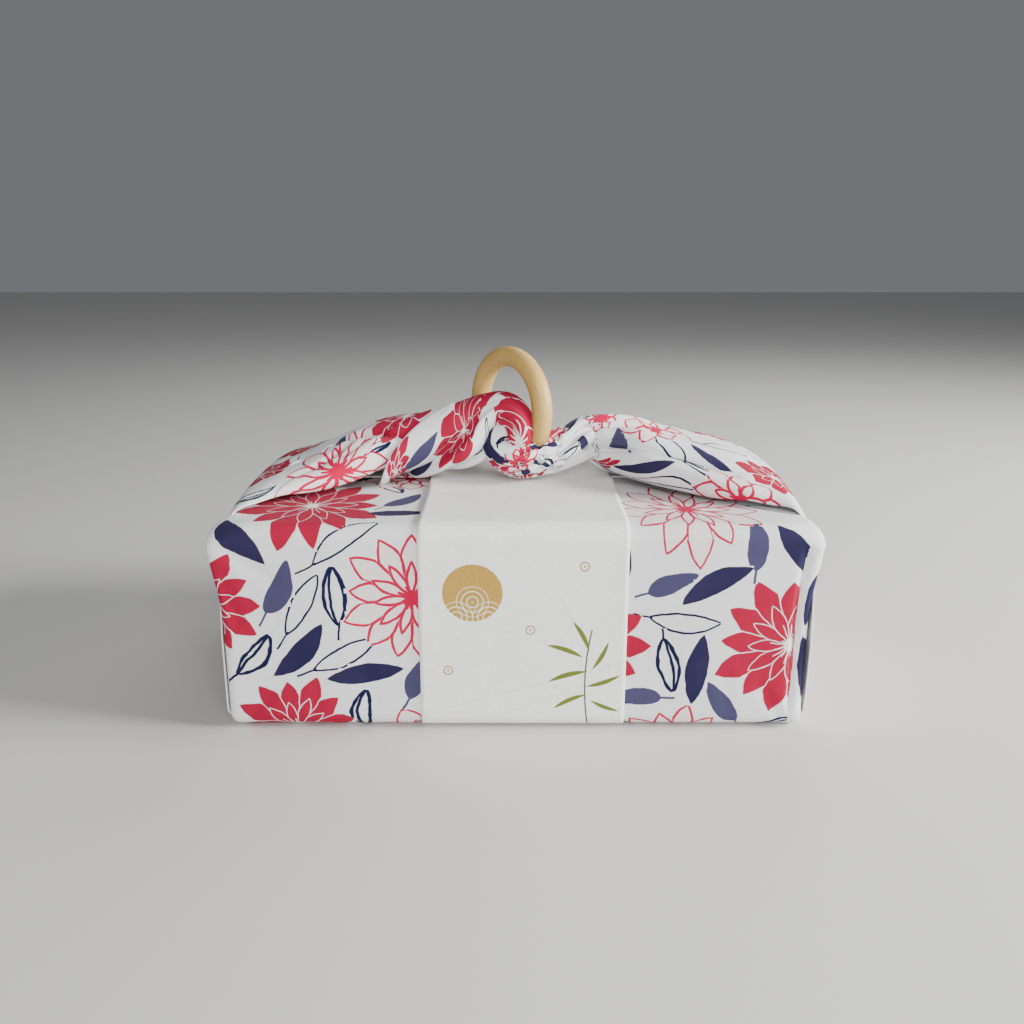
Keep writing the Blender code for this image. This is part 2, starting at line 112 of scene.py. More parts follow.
def arc_lengths(points: Array) -> Array:
    """The distance run along a path of points, from 0 at its first."""
    steps = np.linalg.norm(np.diff(points, axis=0), axis=1)
    return np.concatenate([[0.0], np.cumsum(steps)])


def straight(start: Array, end: Array, pitch: float) -> Array:
    """Points from start to end in steps of about pitch, without start itself."""
    steps = max(1, math.ceil(float(np.linalg.norm(end - start)) / pitch))
    return start + (end - start) * np.linspace(0.0, 1.0, steps + 1)[1:, None]


def rounded_path(corners: Array, rounds: tuple[float, ...], pitch: float) -> Array:
    """A path through corners, each turned with its own round.

    A round of size r at a corner with half angle h starts r / tan(h) before it. Its arc runs
    round the point r / sin(h) along the bisector. All of it is cut in steps of about pitch.

    Args:
        corners: the corners, a row each; the first and last are the path's ends.
        rounds: the size of the round at each corner between the ends.
        pitch: the length of a step.

    Returns:
        The points of the path, a row each.
    """
    path = [corners[0]]
    for before, here, after, size in zip(corners, corners[1:], corners[2:], rounds):
        inward, onward = unit(before - here), unit(after - here)
        half_angle = 0.5 * math.acos(float(np.clip(inward @ onward, -1.0, 1.0)))
        reach = size / math.tan(half_angle)
        centre = here + unit(inward + onward) * size / math.sin(half_angle)
        sweep = math.pi - 2.0 * half_angle
        share = np.linspace(0.0, 1.0, max(4, math.ceil(size * sweep / pitch)) + 1)[:, None]
        first, last = here + inward * reach - centre, here + onward * reach - centre
        path += list(straight(path[-1], first + centre, pitch))
        arc = np.sin((1.0 - share) * sweep) * first + np.sin(share * sweep) * last
        path += list(centre + arc[1:] / math.sin(sweep))
    path += list(straight(path[-1], corners[-1], pitch))
    return np.array(path)


def cubic_rows(table: Array, places: Array, at: Array) -> Array:
    """Rows between those of a table, on a cubic through them.

    Between two rows each column is the cubic with their values and slopes, where a slope is
    the difference quotient of the two neighbours.

    Args:
        table: the rows.
        places: where each row lies along the run.
        at: where the new rows lie.

    Returns:
        The new rows.
    """
    slope = np.gradient(table, places, axis=0)
    i = np.clip(np.searchsorted(places, at, side="right") - 1, 0, len(places) - 2)
    step = (places[i + 1] - places[i])[:, None]
    k = ((at - places[i]) / (places[i + 1] - places[i]))[:, None]
    return (
        (2 * k**3 - 3 * k**2 + 1) * table[i]
        + (k**3 - 2 * k**2 + k) * step * slope[i]
        + (3 * k**2 - 2 * k**3) * table[i + 1]
        + (k**3 - k**2) * step * slope[i + 1]
    )


# Meshes


def quads(rows: int, columns: int, flip: bool = False, closed: bool = False) -> Array:
    """The faces of a grid of points, a row of four corners each.

    Args:
        rows: how many rows of points there are.
        columns: how many points are in a row.
        flip: turns the faces over.
        closed: joins the last column to the first.

    Returns:
        The corner numbers.
    """
    numbers = np.arange(rows * columns).reshape(rows, columns)
    if closed:
        numbers = np.concatenate([numbers, numbers[:, :1]], axis=1)
    corners = [numbers[:-1, :-1], numbers[:-1, 1:], numbers[1:, 1:], numbers[1:, :-1]]
    faces = np.stack([c.ravel() for c in corners], axis=1)
    return faces[:, ::-1] if flip else faces


def carried(x: Array, path: Array, normals: Array, out: Array) -> Array:
    """A grid of points: a profile in the Y-Z plane carried along X.

    Args:
        x: where the columns lie.
        path: the profile's points.
        normals: its outward normals.
        out: how far each point of the grid is moved out along them.

    Returns:
        The grid.
    """
    y, z = (path[:, k : k + 1] + normals[:, k : k + 1] * out for k in (0, 1))
    return np.stack([np.broadcast_to(x, out.shape), y, z], axis=-1)


def mesh_piece(name: str, points: Array, faces: Array) -> Object:
    """Makes an object from points in mm and faces of four corners, with its place in its mesh.

    Args:
        name: the object's name.
        points: its points, in mm.
        faces: the corners of each face.

    Returns:
        The object.
    """
    mesh = bpy.data.meshes.new(name)
    mesh.from_pydata((points * MM).reshape(-1, 3).tolist(), [], faces.tolist())
    mesh.validate()
    mesh.shade_smooth()
    piece = bpy.data.objects.new(name, mesh)
    bpy.context.scene.collection.objects.link(piece)
    return piece


def write_uv(piece: Object, name: str, corners: Array) -> None:
    """Gives a piece a UV map, from a place for each corner of each face."""
    piece.data.uv_layers.new(name=name).data.foreach_set("uv", corners.ravel())


def thicken(piece: Object, thickness: float, reverse: int) -> None:
    """Gives a sheet its thickness in mm, inwards from its outer face, and its reverse's slot.

    Args:
        piece: the sheet.
        thickness: how thick it gets, in mm.
        reverse: how many slots on its reverse's material is.
    """
    solid = piece.modifiers.new("Thickness", "SOLIDIFY")
    solid.thickness = thickness * MM
    solid.offset = -1.0
    solid.use_even_offset = False
    solid.material_offset = reverse


def dress(piece: Object, slot: str, *materials: Material) -> None:
    """Gives a piece its materials, and says that it rides on the root.

    Args:
        piece: the piece.
        slot: not used.
        materials: its materials, in the order of its slots.
    """
    for material in materials:
        piece.data.materials.append(material)
    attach(piece, ROOT)
    LOG.info("%s: %d faces", piece.name, len(piece.data.polygons))


# Shader maths


def operator(operation: str, reflected: bool = False) -> Callable[..., Value]:
    """An operator of Value: one Math node of this operation, or with its operands swapped.

    Args:
        operation: the node's operation.
        reflected: puts the other operand first.

    Returns:
        The method.
    """

    def method(self: Value, *others: Number) -> Value:
        """Adds the node."""
        values = (*others, self) if reflected else (self, *others)
        return self.shader.math(operation, *values)

    return method


class Value:
    """A socket of a material, on which maths is written as Python."""

    def __init__(self, shader: Shader, socket: bpy.types.NodeSocket) -> None:
        """Wraps one output socket of a shader's node."""
        self.shader = shader
        self.socket = socket

    __add__ = operator("ADD")
    __radd__ = operator("ADD", reflected=True)
    __sub__ = operator("SUBTRACT")
    __rsub__ = operator("SUBTRACT", reflected=True)
    __mul__ = operator("MULTIPLY")
    __rmul__ = operator("MULTIPLY", reflected=True)
    __truediv__ = operator("DIVIDE")
    __rtruediv__ = operator("DIVIDE", reflected=True)
    __pow__ = operator("POWER")
    __abs__ = operator("ABSOLUTE")


Number = Value | float
Out = str | int
Field = Value | Array
ON_ARRAYS = {
    "SINE": np.sin,
    "COSINE": np.cos,
    "ARCTAN2": np.arctan2,
    "FLOOR": np.floor,
    "FLOORED_MODULO": np.mod,
    "GREATER_THAN": np.greater,
    "MINIMUM": np.minimum,
    "MAXIMUM": np.maximum,
}


def apply(operation: str, *values: Field | float, clamp: bool = False) -> Field:
    """A Math node where one of the values is a socket, and the same on arrays where none is.

    Args:
        operation: the node's operation.
        values: its operands.
        clamp: keeps the node's result from 0 to 1.

    Returns:
        The result.
    """
    for value in values:
        if isinstance(value, Value):
            return value.shader.math(operation, *values, clamp=clamp)
    return ON_ARRAYS[operation](*values)


sine, cosine, floor = partial(apply, "SINE"), partial(apply, "COSINE"), partial(apply, "FLOOR")
arctan2, modulo = partial(apply, "ARCTAN2"), partial(apply, "FLOORED_MODULO")
greater, least = partial(apply, "GREATER_THAN"), partial(apply, "MINIMUM")


def most(first: Field, *others: Field | float) -> Field:
    """The largest of some values."""
    for other in others:
        first = apply("MAXIMUM", first, other)
    return first


def length(x: Field, y: Field) -> Field:
    """The distance of a place from the origin."""
    return (x * x + y * y) ** 0.5


def step(value: Value, soft: Number) -> Value:
    """0 where a value is below 0 and 1 where it is above, across a soft edge."""
    return apply("ADD", value / soft, 0.5, clamp=True)


def same(value: Value, number: float) -> Value:
    """1 where a value is the whole number and 0 elsewhere."""
    return apply("COMPARE", value, float(number), 0.5)


def mix(share: Number, low: Value | Colour, high: Value | Colour) -> Value:
    """A colour between two, by a share.

    Args:
        share: how far the colour goes from low to high.
        low: the colour at 0.
        high: the colour at 1.

    Returns:
        The colour.
    """
    shader = next(each for each in (share, low, high) if isinstance(each, Value)).shader
    return shader.node("ShaderNodeMix", {"data_type": "RGBA"}, {0: share, 6: low, 7: high}, 2)


class Shader:
    """Builds the nodes of one material."""

    def __init__(self, name: str) -> None:
        """Makes an empty material with a Principled shader."""
        self.material = bpy.data.materials.new(name)
        self.material.use_nodes = True
        self.tree = self.material.node_tree
        self.surface = self.tree.nodes["Principled BSDF"]

    def put(self, socket: bpy.types.NodeSocket, value: object) -> None:
        """Links a value to an input socket, or sets the socket to a plain one."""
        if isinstance(value, Value):
            self.tree.links.new(value.socket, socket)
        else:
            socket.default_value = value

    def node(
        self, kind: str, settings: dict[str, object], sockets: dict[str | int, object], out: Out = 0
    ) -> Value:
        """Adds one node.

        Args:
            kind: the node's type.
            settings: its properties, which are set first.
            sockets: values or links of its inputs, by name or number.
            out: the output to hand back.

        Returns:
            The output.
        """
        made = self.tree.nodes.new(kind)
        for key, setting in settings.items():
            setattr(made, key, setting)
        for key, value in sockets.items():
            self.put(made.inputs[key], value)
        return Value(self, made.outputs[out])

    def math(self, operation: str, *values: Number, clamp: bool = False) -> Value:
        """One Math node."""
        settings = {"operation": operation, "use_clamp": clamp}
        return self.node("ShaderNodeMath", settings, dict(enumerate(values)))

    def split(self, vector: Value) -> tuple[Value, ...]:
        """The three parts of a vector."""
        first = self.node("ShaderNodeSeparateXYZ", {}, {0: vector})
        return tuple(Value(self, socket) for socket in first.socket.node.outputs)

    def join(self, x: Number, y: Number, z: Number) -> Value:
        """A vector from three parts."""
        return self.node("ShaderNodeCombineXYZ", {}, {0: x, 1: y, 2: z})

    def noise(
        self, place: Value, scale: float, detail: float = 2.0, rough: float = 0.5, out: Out = 0
    ) -> Value:
        """Smooth noise from 0 to 1.

        Args:
            place: where it is read.
            scale: its scale.
            detail: how many finer noises are added.
            rough: how strong they are.
            out: the output to hand back; "Color" is three noises as one.

        Returns:
            The noise.
        """
        sockets = {"Vector": place, "Scale": scale, "Detail": detail, "Roughness": rough}
        return self.node("ShaderNodeTexNoise", {"noise_dimensions": "3D"}, sockets, out)

    def streaks(self, parts: tuple[Number, ...], scales: tuple[float, ...], detail: float) -> Value:
        """Noise with a scale of its own along each part of a place."""
        return self.noise(self.join(*(part * scale for part, scale in zip(parts, scales))), 1.0, detail)

    def uv(self, name: str) -> Value:
        """The places of a UV map."""
        return self.node("ShaderNodeUVMap", {"uv_map": name}, {})

    def attribute(self, name: str, out: str = "Vector") -> Value:
        """A named attribute of the mesh."""
        return self.node("ShaderNodeAttribute", {"attribute_name": name}, {}, out)

    def object_place(self) -> Value:
        """The place on the object."""
        return self.node("ShaderNodeTexCoord", {}, {}, "Object")

    def bump(self, height: Value, strength: float, distance: float) -> Value:
        """Normals of a surface with this height."""
        sockets = {"Strength": strength, "Distance": distance, "Height": height}
        return self.node("ShaderNodeBump", {}, sockets)

    def finish(
        self, base: object, rough: object, normal: Value | None = None, **fixed: float
    ) -> Material:
        """Sets the surface's colour, roughness and normals, and its fixed values by name.

        Args:
            base: the colour.
            rough: the roughness.
            normal: the normals, where they vary.
            fixed: plain values of other sockets, with _ for a space.

        Returns:
            The material.
        """
        self.put(self.surface.inputs["Base Color"], base)
        self.put(self.surface.inputs["Roughness"], rough)
        if normal is not None:
            self.put(self.surface.inputs["Normal"], normal)
        for key, value in fixed.items():
            self.surface.inputs[key.replace("_", " ")].default_value = value
        return self.material


# The print on the cloth


class Motif(IntEnum):
    """What is printed on a face of the cloth. A line is drawn, and not filled."""

    GROUND = 0
    RED_FLOWER = 1
    LINE_FLOWER = 2
    NAVY_LEAF = 3
    SLATE_LEAF = 4
    LINE_LEAF = 5
    BRUSH_LEAF = 6


RED, OPEN, NAVY, SLATE, LINE, BRUSH = tuple(Motif)[1:]

# Motif charts. Across and along are places on the flat cloth, size is a flower's radius or
# half a leaf's length, turn is the angle of its axis, and squash narrows it across its axis.
# Columns: across, along, motif, size, turn, squash
Chart = tuple[tuple[float, float, Motif, float, float, float], ...]

SMALL_FLOWER = 28.5
LEAF_BEND = 0.16
BEND_SEED = 9.0
SLIM_LEAF = (0.29, 0.85)
FULL_LEAF = (0.36, 0.62)
EGG_SHAPE = 0.28
STEM_START = 0.9
STEM_END = 1.5
STEM_LEAN = 0.12
STEM_WIDTH = 0.5
STEM_MARGIN = 0.03


@dataclass(frozen=True)
class Petals:
    """One ring of petals of a flower. A small flower has fewer and wider petals.

    A petal has its own length L. At a share s of L along it, its half width is
    width * L * s^rise * (1 - s)^fall.
    """

    count: int
    few: int
    reach: float
    width: float
    shift: float
    rise: float = 0.95
    fall: float = 0.86
    shortest: float = 0.86
    uneven: float = 0.16
    next_luck: float = 2.4
    seed_luck: float = 5.0
    share_ends: Place = (0.0001, 0.9999)

    def inside(self, radius: Field, angle: Field, seed: Number, size: Number) -> tuple[Field, Field]:
        """Where places lie in the ring, on sockets or arrays.

        Args:
            radius: how far a place is from the flower's middle, in flower radii.
            angle: its angle round the middle.
            seed: the flower's own number.
            size: the flower's radius, in mm.

        Returns:
            How far inside its petal a place is, and how far from the seam between petals.
        """
        count = self.few + (self.count - self.few) * greater(size, SMALL_FLOWER)
        turn = TAU / count
        place = angle / turn + (self.shift + count)
        index = floor(place)
        away = abs(place - index - 0.5) * turn
        luck = 0.5 + 0.5 * sine(modulo(index, count) * self.next_luck + seed * self.seed_luck)
        long = self.reach * (self.shortest + self.uneven * luck)
        run = radius * cosine(away)
        share = most(least(run / long, self.share_ends[1]), self.share_ends[0])
        width = self.width * self.count / count
        half = width * long * share**self.rise * (1.0 - share) ** self.fall
        return least(half - radius * sine(away), long - run), radius * (0.5 * turn - away)


OUTER = Petals(13, 8, 1.0, 0.70, 0.0)
INNER = Petals(11, 7, 0.60, 0.55, 0.37)


def leaf_shape(u: Field, v: Field, seed: Number) -> tuple[Field, ...]:
    """The shape of a leaf from u = -1 at its stem to u = 1 at its tip, on sockets or arrays.

    Its axis is bent by bend * (1 - u^2). Its half width is width * (1 - u^2)^power, and a full
    leaf is wider towards its stem.

    Args:
        u: the place along the leaf, in half lengths.
        v: the place across it.
        seed: the leaf's own number.

    Returns:
        1 - u^2, the distances from the axis and from the stem's line, and the half widths of
        a slim and a full leaf.
    """
    body = most(1.0 - u * u, 0.0)
    side = v - LEAF_BEND * sine(seed * BEND_SEED) * body
    slim, full = (width * body**power for width, power in (SLIM_LEAF, FULL_LEAF))
    return body, side, abs(v + STEM_LEAN * (u + 1.0)), slim, full * (1.0 - EGG_SHAPE * u)


@dataclass(frozen=True)
class Print:
    """A chart of motifs, laid on the faces of a piece of cloth."""

    chart: Chart
    margin: float = 2.6
    ground_size: float = 10.0

    def lay(self, piece: Object, places: Array, faces: Array) -> None:
        """Writes each face's motif, and its corners' places on that motif.

        A place on a motif is the place on the cloth, less the motif's own, turned by its angle
        and divided by its size. A face goes to the motif whose ink is nearest.

        Args:
            piece: the piece of cloth.
            places: the place of each point on the flat cloth, across and along, in mm.
            faces: the corners of each face.
        """
        middle = places[faces].mean(axis=1)
        seeds = np.random.default_rng(len(self.chart)).uniform(1.0, 9.0, len(self.chart))
        owner = np.full(len(faces), -1)
        nearest = np.full(len(faces), -self.margin)
        for number, (row, seed) in enumerate(zip(self.chart, seeds)):
            ink = self._ink(self._local(middle, row), row[2], seed, row[3])
            owner = np.where(ink > nearest, number, owner)
            nearest = np.maximum(nearest, ink)
        corner = np.zeros((len(faces), faces.shape[1], 2))
        facts = np.zeros((len(faces), 3))
        facts[:, 2] = self.ground_size
        for number, row in enumerate(self.chart):
            mine = owner == number
            corner[mine] = self._local(places[faces[mine]], row)
            facts[mine] = (int(row[2]), seeds[number], row[3])
        write_uv(piece, "motif_place", corner)
        write_uv(piece, "cloth_place", places[faces] * MM)
        attribute = piece.data.attributes.new("motif", "FLOAT_VECTOR", "FACE")
        attribute.data.foreach_set("vector", facts.ravel())

    @staticmethod
    def _local(places: Array, row: tuple) -> Array:
        """Places on the cloth, as places on one motif.

        Args:
            places: the places on the cloth, in mm.
            row: the motif's row of the chart.

        Returns:
            The places on the motif.
        """
        across, along, _, size, turn, squash = row
        u, v = turned(places[..., 0] - across, places[..., 1] - along, math.radians(turn))
        return np.stack([u / size, v / (size * squash)], axis=-1)

    @staticmethod
    def _ink(local: Array, kind: Motif, seed: float, size: float) -> Array:
        """How far inside a motif's outline places are, in mm, as the material draws it.

        Args:
            local: the places on the motif.
            kind: the motif.
            seed: its own number.
            size: its size, in mm.

        Returns:
            The distances.
        """
        u, v = local[..., 0], local[..., 1]
        if kind in (RED, OPEN):
            return OUTER.inside(length(u, v), arctan2(v, u), seed, size)[0] * size
        _, side, stem_side, slim, full = leaf_shape(u, v, seed)
        leaf = np.minimum((full if kind is SLATE else slim) - np.abs(side), 1.0 - np.abs(u))
        stem = leaf if kind is NAVY else np.minimum(u + STEM_END, -STEM_START - u)
        return np.maximum(leaf, np.minimum(stem, STEM_MARGIN - stem_side)) * size


@dataclass(frozen=True)
class Spot:
    """Where a place lies on its motif, and which motif that is."""

    u: Value
    v: Value
    kind: Value
    seed: Value
    size: Value
    mottle: Value
    soft: Value


@dataclass(frozen=True)
class Cotton:
    """Thin plain-woven cotton with a flower print, and its paler reverse."""

    ground: Colour = colour("EFEBE8")
    cool_ground: Colour = colour("E1E4EA")
    red: Colour = colour("B01A3E")
    deep_red: Colour = colour("9E1434")
    pink: Colour = colour("C00C42")
    blush: Colour = colour("EFDCD8")
    navy: Colour = colour("352E4E")
    slate: Colour = colour("4A4769")
    dark_slate: Colour = colour("413F5B")
    ink: Colour = colour("14183C")
    red_line: float = 0.42
    pink_line: float = 1.35
    thin_line: float = 1.1
    soft_edge: float = 0.25
    shake: float = 1.7
    shake_scale: float = 130.0
    mottle_scale: float = 45.0
    stamens: int = 17
    blot: float = 0.085
    shortest_stamen: float = 0.10
    stamen_luck: float = 0.2
    rib: float = 0.4
    thread: float = 0.00042
    slub: tuple[float, float, float] = (1400.0, 260.0, 1.0)
    crepe: tuple[float, float, float] = (600.0, 120.0, 1.0)
    crinkle: tuple[float, float, float] = (190.0, 34.0, 1.0)
    hem: float = 4.5
    seam_in: float = 0.9
    stitch: float = 0.0036

    def make(self, name: str, show: float) -> Material:
        """Makes the cloth's material.

        Args:
            name: the material's name.
            show: how strongly the print shows, from 0 to 1.

        Returns:
            The material.
        """
        shader = Shader(name)
        place = shader.uv("cloth_place")
        across, along, _ = shader.split(place)
        printed = self._print(shader, place, show)
        weave = sine(across * (TAU / self.thread)) * sine(along * (TAU / self.thread))
        slub = shader.streaks((across, along, 0.0), self.slub, 2.0)
        crepe = shader.streaks((across, along, 4.0), self.crepe, 3.0)
        crinkle = shader.streaks((across, along, 9.0), self.crinkle, 2.0)
        hem_gap = shader.attribute("hem_gap", "Fac")
        hem = step(self.hem - hem_gap, 0.5)
        dash = step(sine(along * (TAU / self.stitch)), 0.3)
        stitch = step(0.22 - abs(hem_gap - self.hem + self.seam_in), 0.1) * dash
        height = weave * 0.25 + slub * 0.5 + crepe * 0.9 + crinkle * 2.2
        height = height + hem * 1.6 - stitch * 0.8
        base = mix(0.94 + 0.06 * slub, (0.0, 0.0, 0.0, 1.0), printed)
        normal = shader.bump(height, 0.35, 0.0003)
        rough = 0.82 + 0.1 * slub
        return shader.finish(
            base, rough, normal, Sheen_Weight=0.02, Sheen_Roughness=0.5, Specular_IOR_Level=0.15
        )

    def _print(self, shader: Shader, place: Value, show: float) -> Value:
        """The colour of the print.

        Args:
            shader: the material's shader.
            place: the place on the flat cloth.
            show: how strongly it shows.

        Returns:
            The colour.
        """
        kind, seed, size = shader.split(shader.attribute("motif"))
        u, v, _ = shader.split(shader.uv("motif_place"))
        shake_u, shake_v, _ = shader.split(shader.noise(place, self.shake_scale, out="Color"))
        u = u + (shake_u - 0.5) * self.shake / size
        v = v + (shake_v - 0.5) * self.shake / size
        mottle = shader.noise(place, self.mottle_scale, 3.0)
        ground = mix(mottle, self.ground, self.cool_ground)
        spot = Spot(u, v, kind, seed, size, mottle, self.soft_edge / size)
        made = self._leaves(shader, spot, self._flowers(spot, ground))
        return made if show >= 1.0 else mix(show, ground, made)

    def _flowers(self, spot: Spot, ground: Value) -> Value:
        """Lays both kinds of flower on the ground: two rings of petals and a burst of stamens.

        Args:
            spot: the place on its motif.
            ground: the cloth's own colour.

        Returns:
            The colour.
        """
        soft = spot.soft
        radius, angle = length(spot.u, spot.v), arctan2(spot.v, spot.u)
        filled = same(spot.kind, RED)
        line = (self.pink_line + (self.red_line - self.pink_line) * filled) / spot.size
        outer_in, outer_seam = OUTER.inside(radius, angle, spot.seed, spot.size)
        inner_in, inner_seam = INNER.inside(radius, angle, spot.seed, spot.size)
        in_outer, in_inner = step(outer_in, soft), step(inner_in, soft)
        outer_line = 1.0 - step(least(outer_in, outer_seam * 2.0) - line, soft)
        inner_line = 1.0 - step(least(inner_in, inner_seam * 2.0) - line, soft)
        burst = self._burst(radius, angle, spot.seed, line, soft)
        lines = most(in_inner * inner_line, in_outer * outer_line * (1.0 - in_inner), burst)
        body = most(in_outer, in_inner)

        red_ink = mix(spot.mottle, self.red, self.deep_red)
        red = mix(body, ground, mix(lines, red_ink, ground))
        open_fill = mix(body * 0.6, ground, self.blush)
        open_flower = mix(most(lines * body, burst), open_fill, self.pink)
        return mix(same(spot.kind, OPEN), mix(filled, ground, red), open_flower)

    def _burst(self, radius: Value, angle: Value, seed: Value, line: Value, soft: Value) -> Value:
        """The stamens: a small blot with strokes of uneven length that run out from it.

        Args:
            radius: how far a place is from the flower's middle.
            angle: its angle round the middle.
            seed: the flower's own number.
            line: the width of a line.
            soft: the width of its soft edge.

        Returns:
            1 on a stamen and 0 elsewhere.
        """
        count = float(self.stamens)
        place = angle * (count / TAU) + count
        index = floor(place)
        sockets = {"W": modulo(index, count) + seed * 7.0}
        luck = radius.shader.node("ShaderNodeTexWhiteNoise", {"noise_dimensions": "1D"}, sockets)
        away = radius * abs(place - index - 0.5) * (TAU / count)
        reach = self.shortest_stamen + self.stamen_luck * luck
        stroke = step(line * 0.5 - away, soft) * step(reach - radius, soft)
        return most(stroke, step(self.blot - radius, soft))

    def _leaves(self, shader: Shader, spot: Spot, under: Value) -> Value:
        """Lays the four kinds of leaf on what is under them.

        Args:
            shader: the material's shader.
            spot: the place on its motif.
            under: the colour under them.

        Returns:
            The colour.
        """
        u, soft = spot.u, spot.soft
        body, side, stem_side, slim, full = leaf_shape(u, spot.v, spot.seed)
        slate = same(spot.kind, SLATE)
        half = slim + (full - slim) * slate
        inside = half - abs(side)
        leaf = step(inside, soft)
        stem = step(STEM_WIDTH / spot.size - stem_side, soft)
        stem = stem * step(-STEM_START - u, soft) * step(u + STEM_END, soft)
        navy_ink = mix(spot.mottle, self.navy, self.ink)
        made = mix(same(spot.kind, NAVY) * leaf, under, navy_ink)
        slate_ink = mix(spot.mottle, self.slate, self.dark_slate)
        made = mix(slate * most(leaf, stem), made, slate_ink)

        thin = self.thin_line / spot.size * 0.5
        off_ends = step(body - 0.02, 0.01)
        rim = step(thin - abs(inside), soft) * off_ends
        made = mix(same(spot.kind, LINE) * most(rim, stem), made, self.ink)

        press = shader.noise(shader.join(u * 2.0, side, spot.seed), 1.3, 1.0)
        brush = thin * (0.4 + 1.9 * press)
        rim = step(brush - abs(inside), soft) * off_ends
        rib = step(thin * 1.1 - abs(side - self.rib * half), soft) * leaf
        return mix(same(spot.kind, BRUSH) * most(rim, rib, stem), made, self.ink)


# The cloth


class Side(Enum):
    """An end of the bundle."""

    LEFT = -1.0
    RIGHT = 1.0


@dataclass(frozen=True)
class Crease:
    """A soft trough in the cloth from one place to another, in mm on the flat cloth."""

    start: Place
    end: Place
    depth: float
    width: float

    def depth_at(self, places: Array) -> Array:
        """The trough's depth, negative on the low ridges beside it.

        With d the distance from the line in widths, the depth is (1 - 0.8 d^2) exp(-d^2), and it
        fades out towards both ends.

        Args:
            places: places on the flat cloth.

        Returns:
            The depths.
        """
        start = np.array(self.start)
        run = np.array(self.end) - start
        long = float(np.linalg.norm(run))
        share = ((places - start) @ run) / long**2
        off = np.abs((places - start) @ np.array([-run[1], run[0]])) / long / self.width
        fade = smoothstep(share, 0.0, 0.35) * smoothstep(-share, -1.0, -0.65)
        return self.depth * (1.0 - 0.8 * off**2) * np.exp(-(off**2)) * fade


def creases(*rows: tuple[float, ...]) -> tuple[Crease, ...]:
    """Creases from rows of: start across and along, end across and along, depth, width."""
    return tuple(Crease(row[:2], row[2:4], *row[4:]) for row in rows)


Cloth = tuple[Material, Material]


@dataclass
class Sheet:
    """A printed piece of cloth, with its face and its reverse."""

    name: str
    cotton: Cloth
    chart: Chart

    def piece(
        self, grid: Array, places: Array, hem_gap: Array, flip: bool, thickness: float
    ) -> Object:
        """Makes the piece from a grid of points.

        Args:
            grid: the points, in mm.
            places: their places on the flat cloth.
            hem_gap: how far each is from the nearest hem.
            flip: turns the faces over.
            thickness: the cloth's thickness, in mm.

        Returns:
            The piece.
        """
        faces = quads(*grid.shape[:2], flip=flip)
        piece = mesh_piece(self.name, grid, faces)
        Print(self.chart).lay(piece, places.reshape(-1, 2), faces)
        attribute = piece.data.attributes.new("hem_gap", "FLOAT", "POINT")
        attribute.data.foreach_set("value", hem_gap.ravel())
        thicken(piece, thickness, 1)
        dress(piece, "cotton", *self.cotton)
        return piece


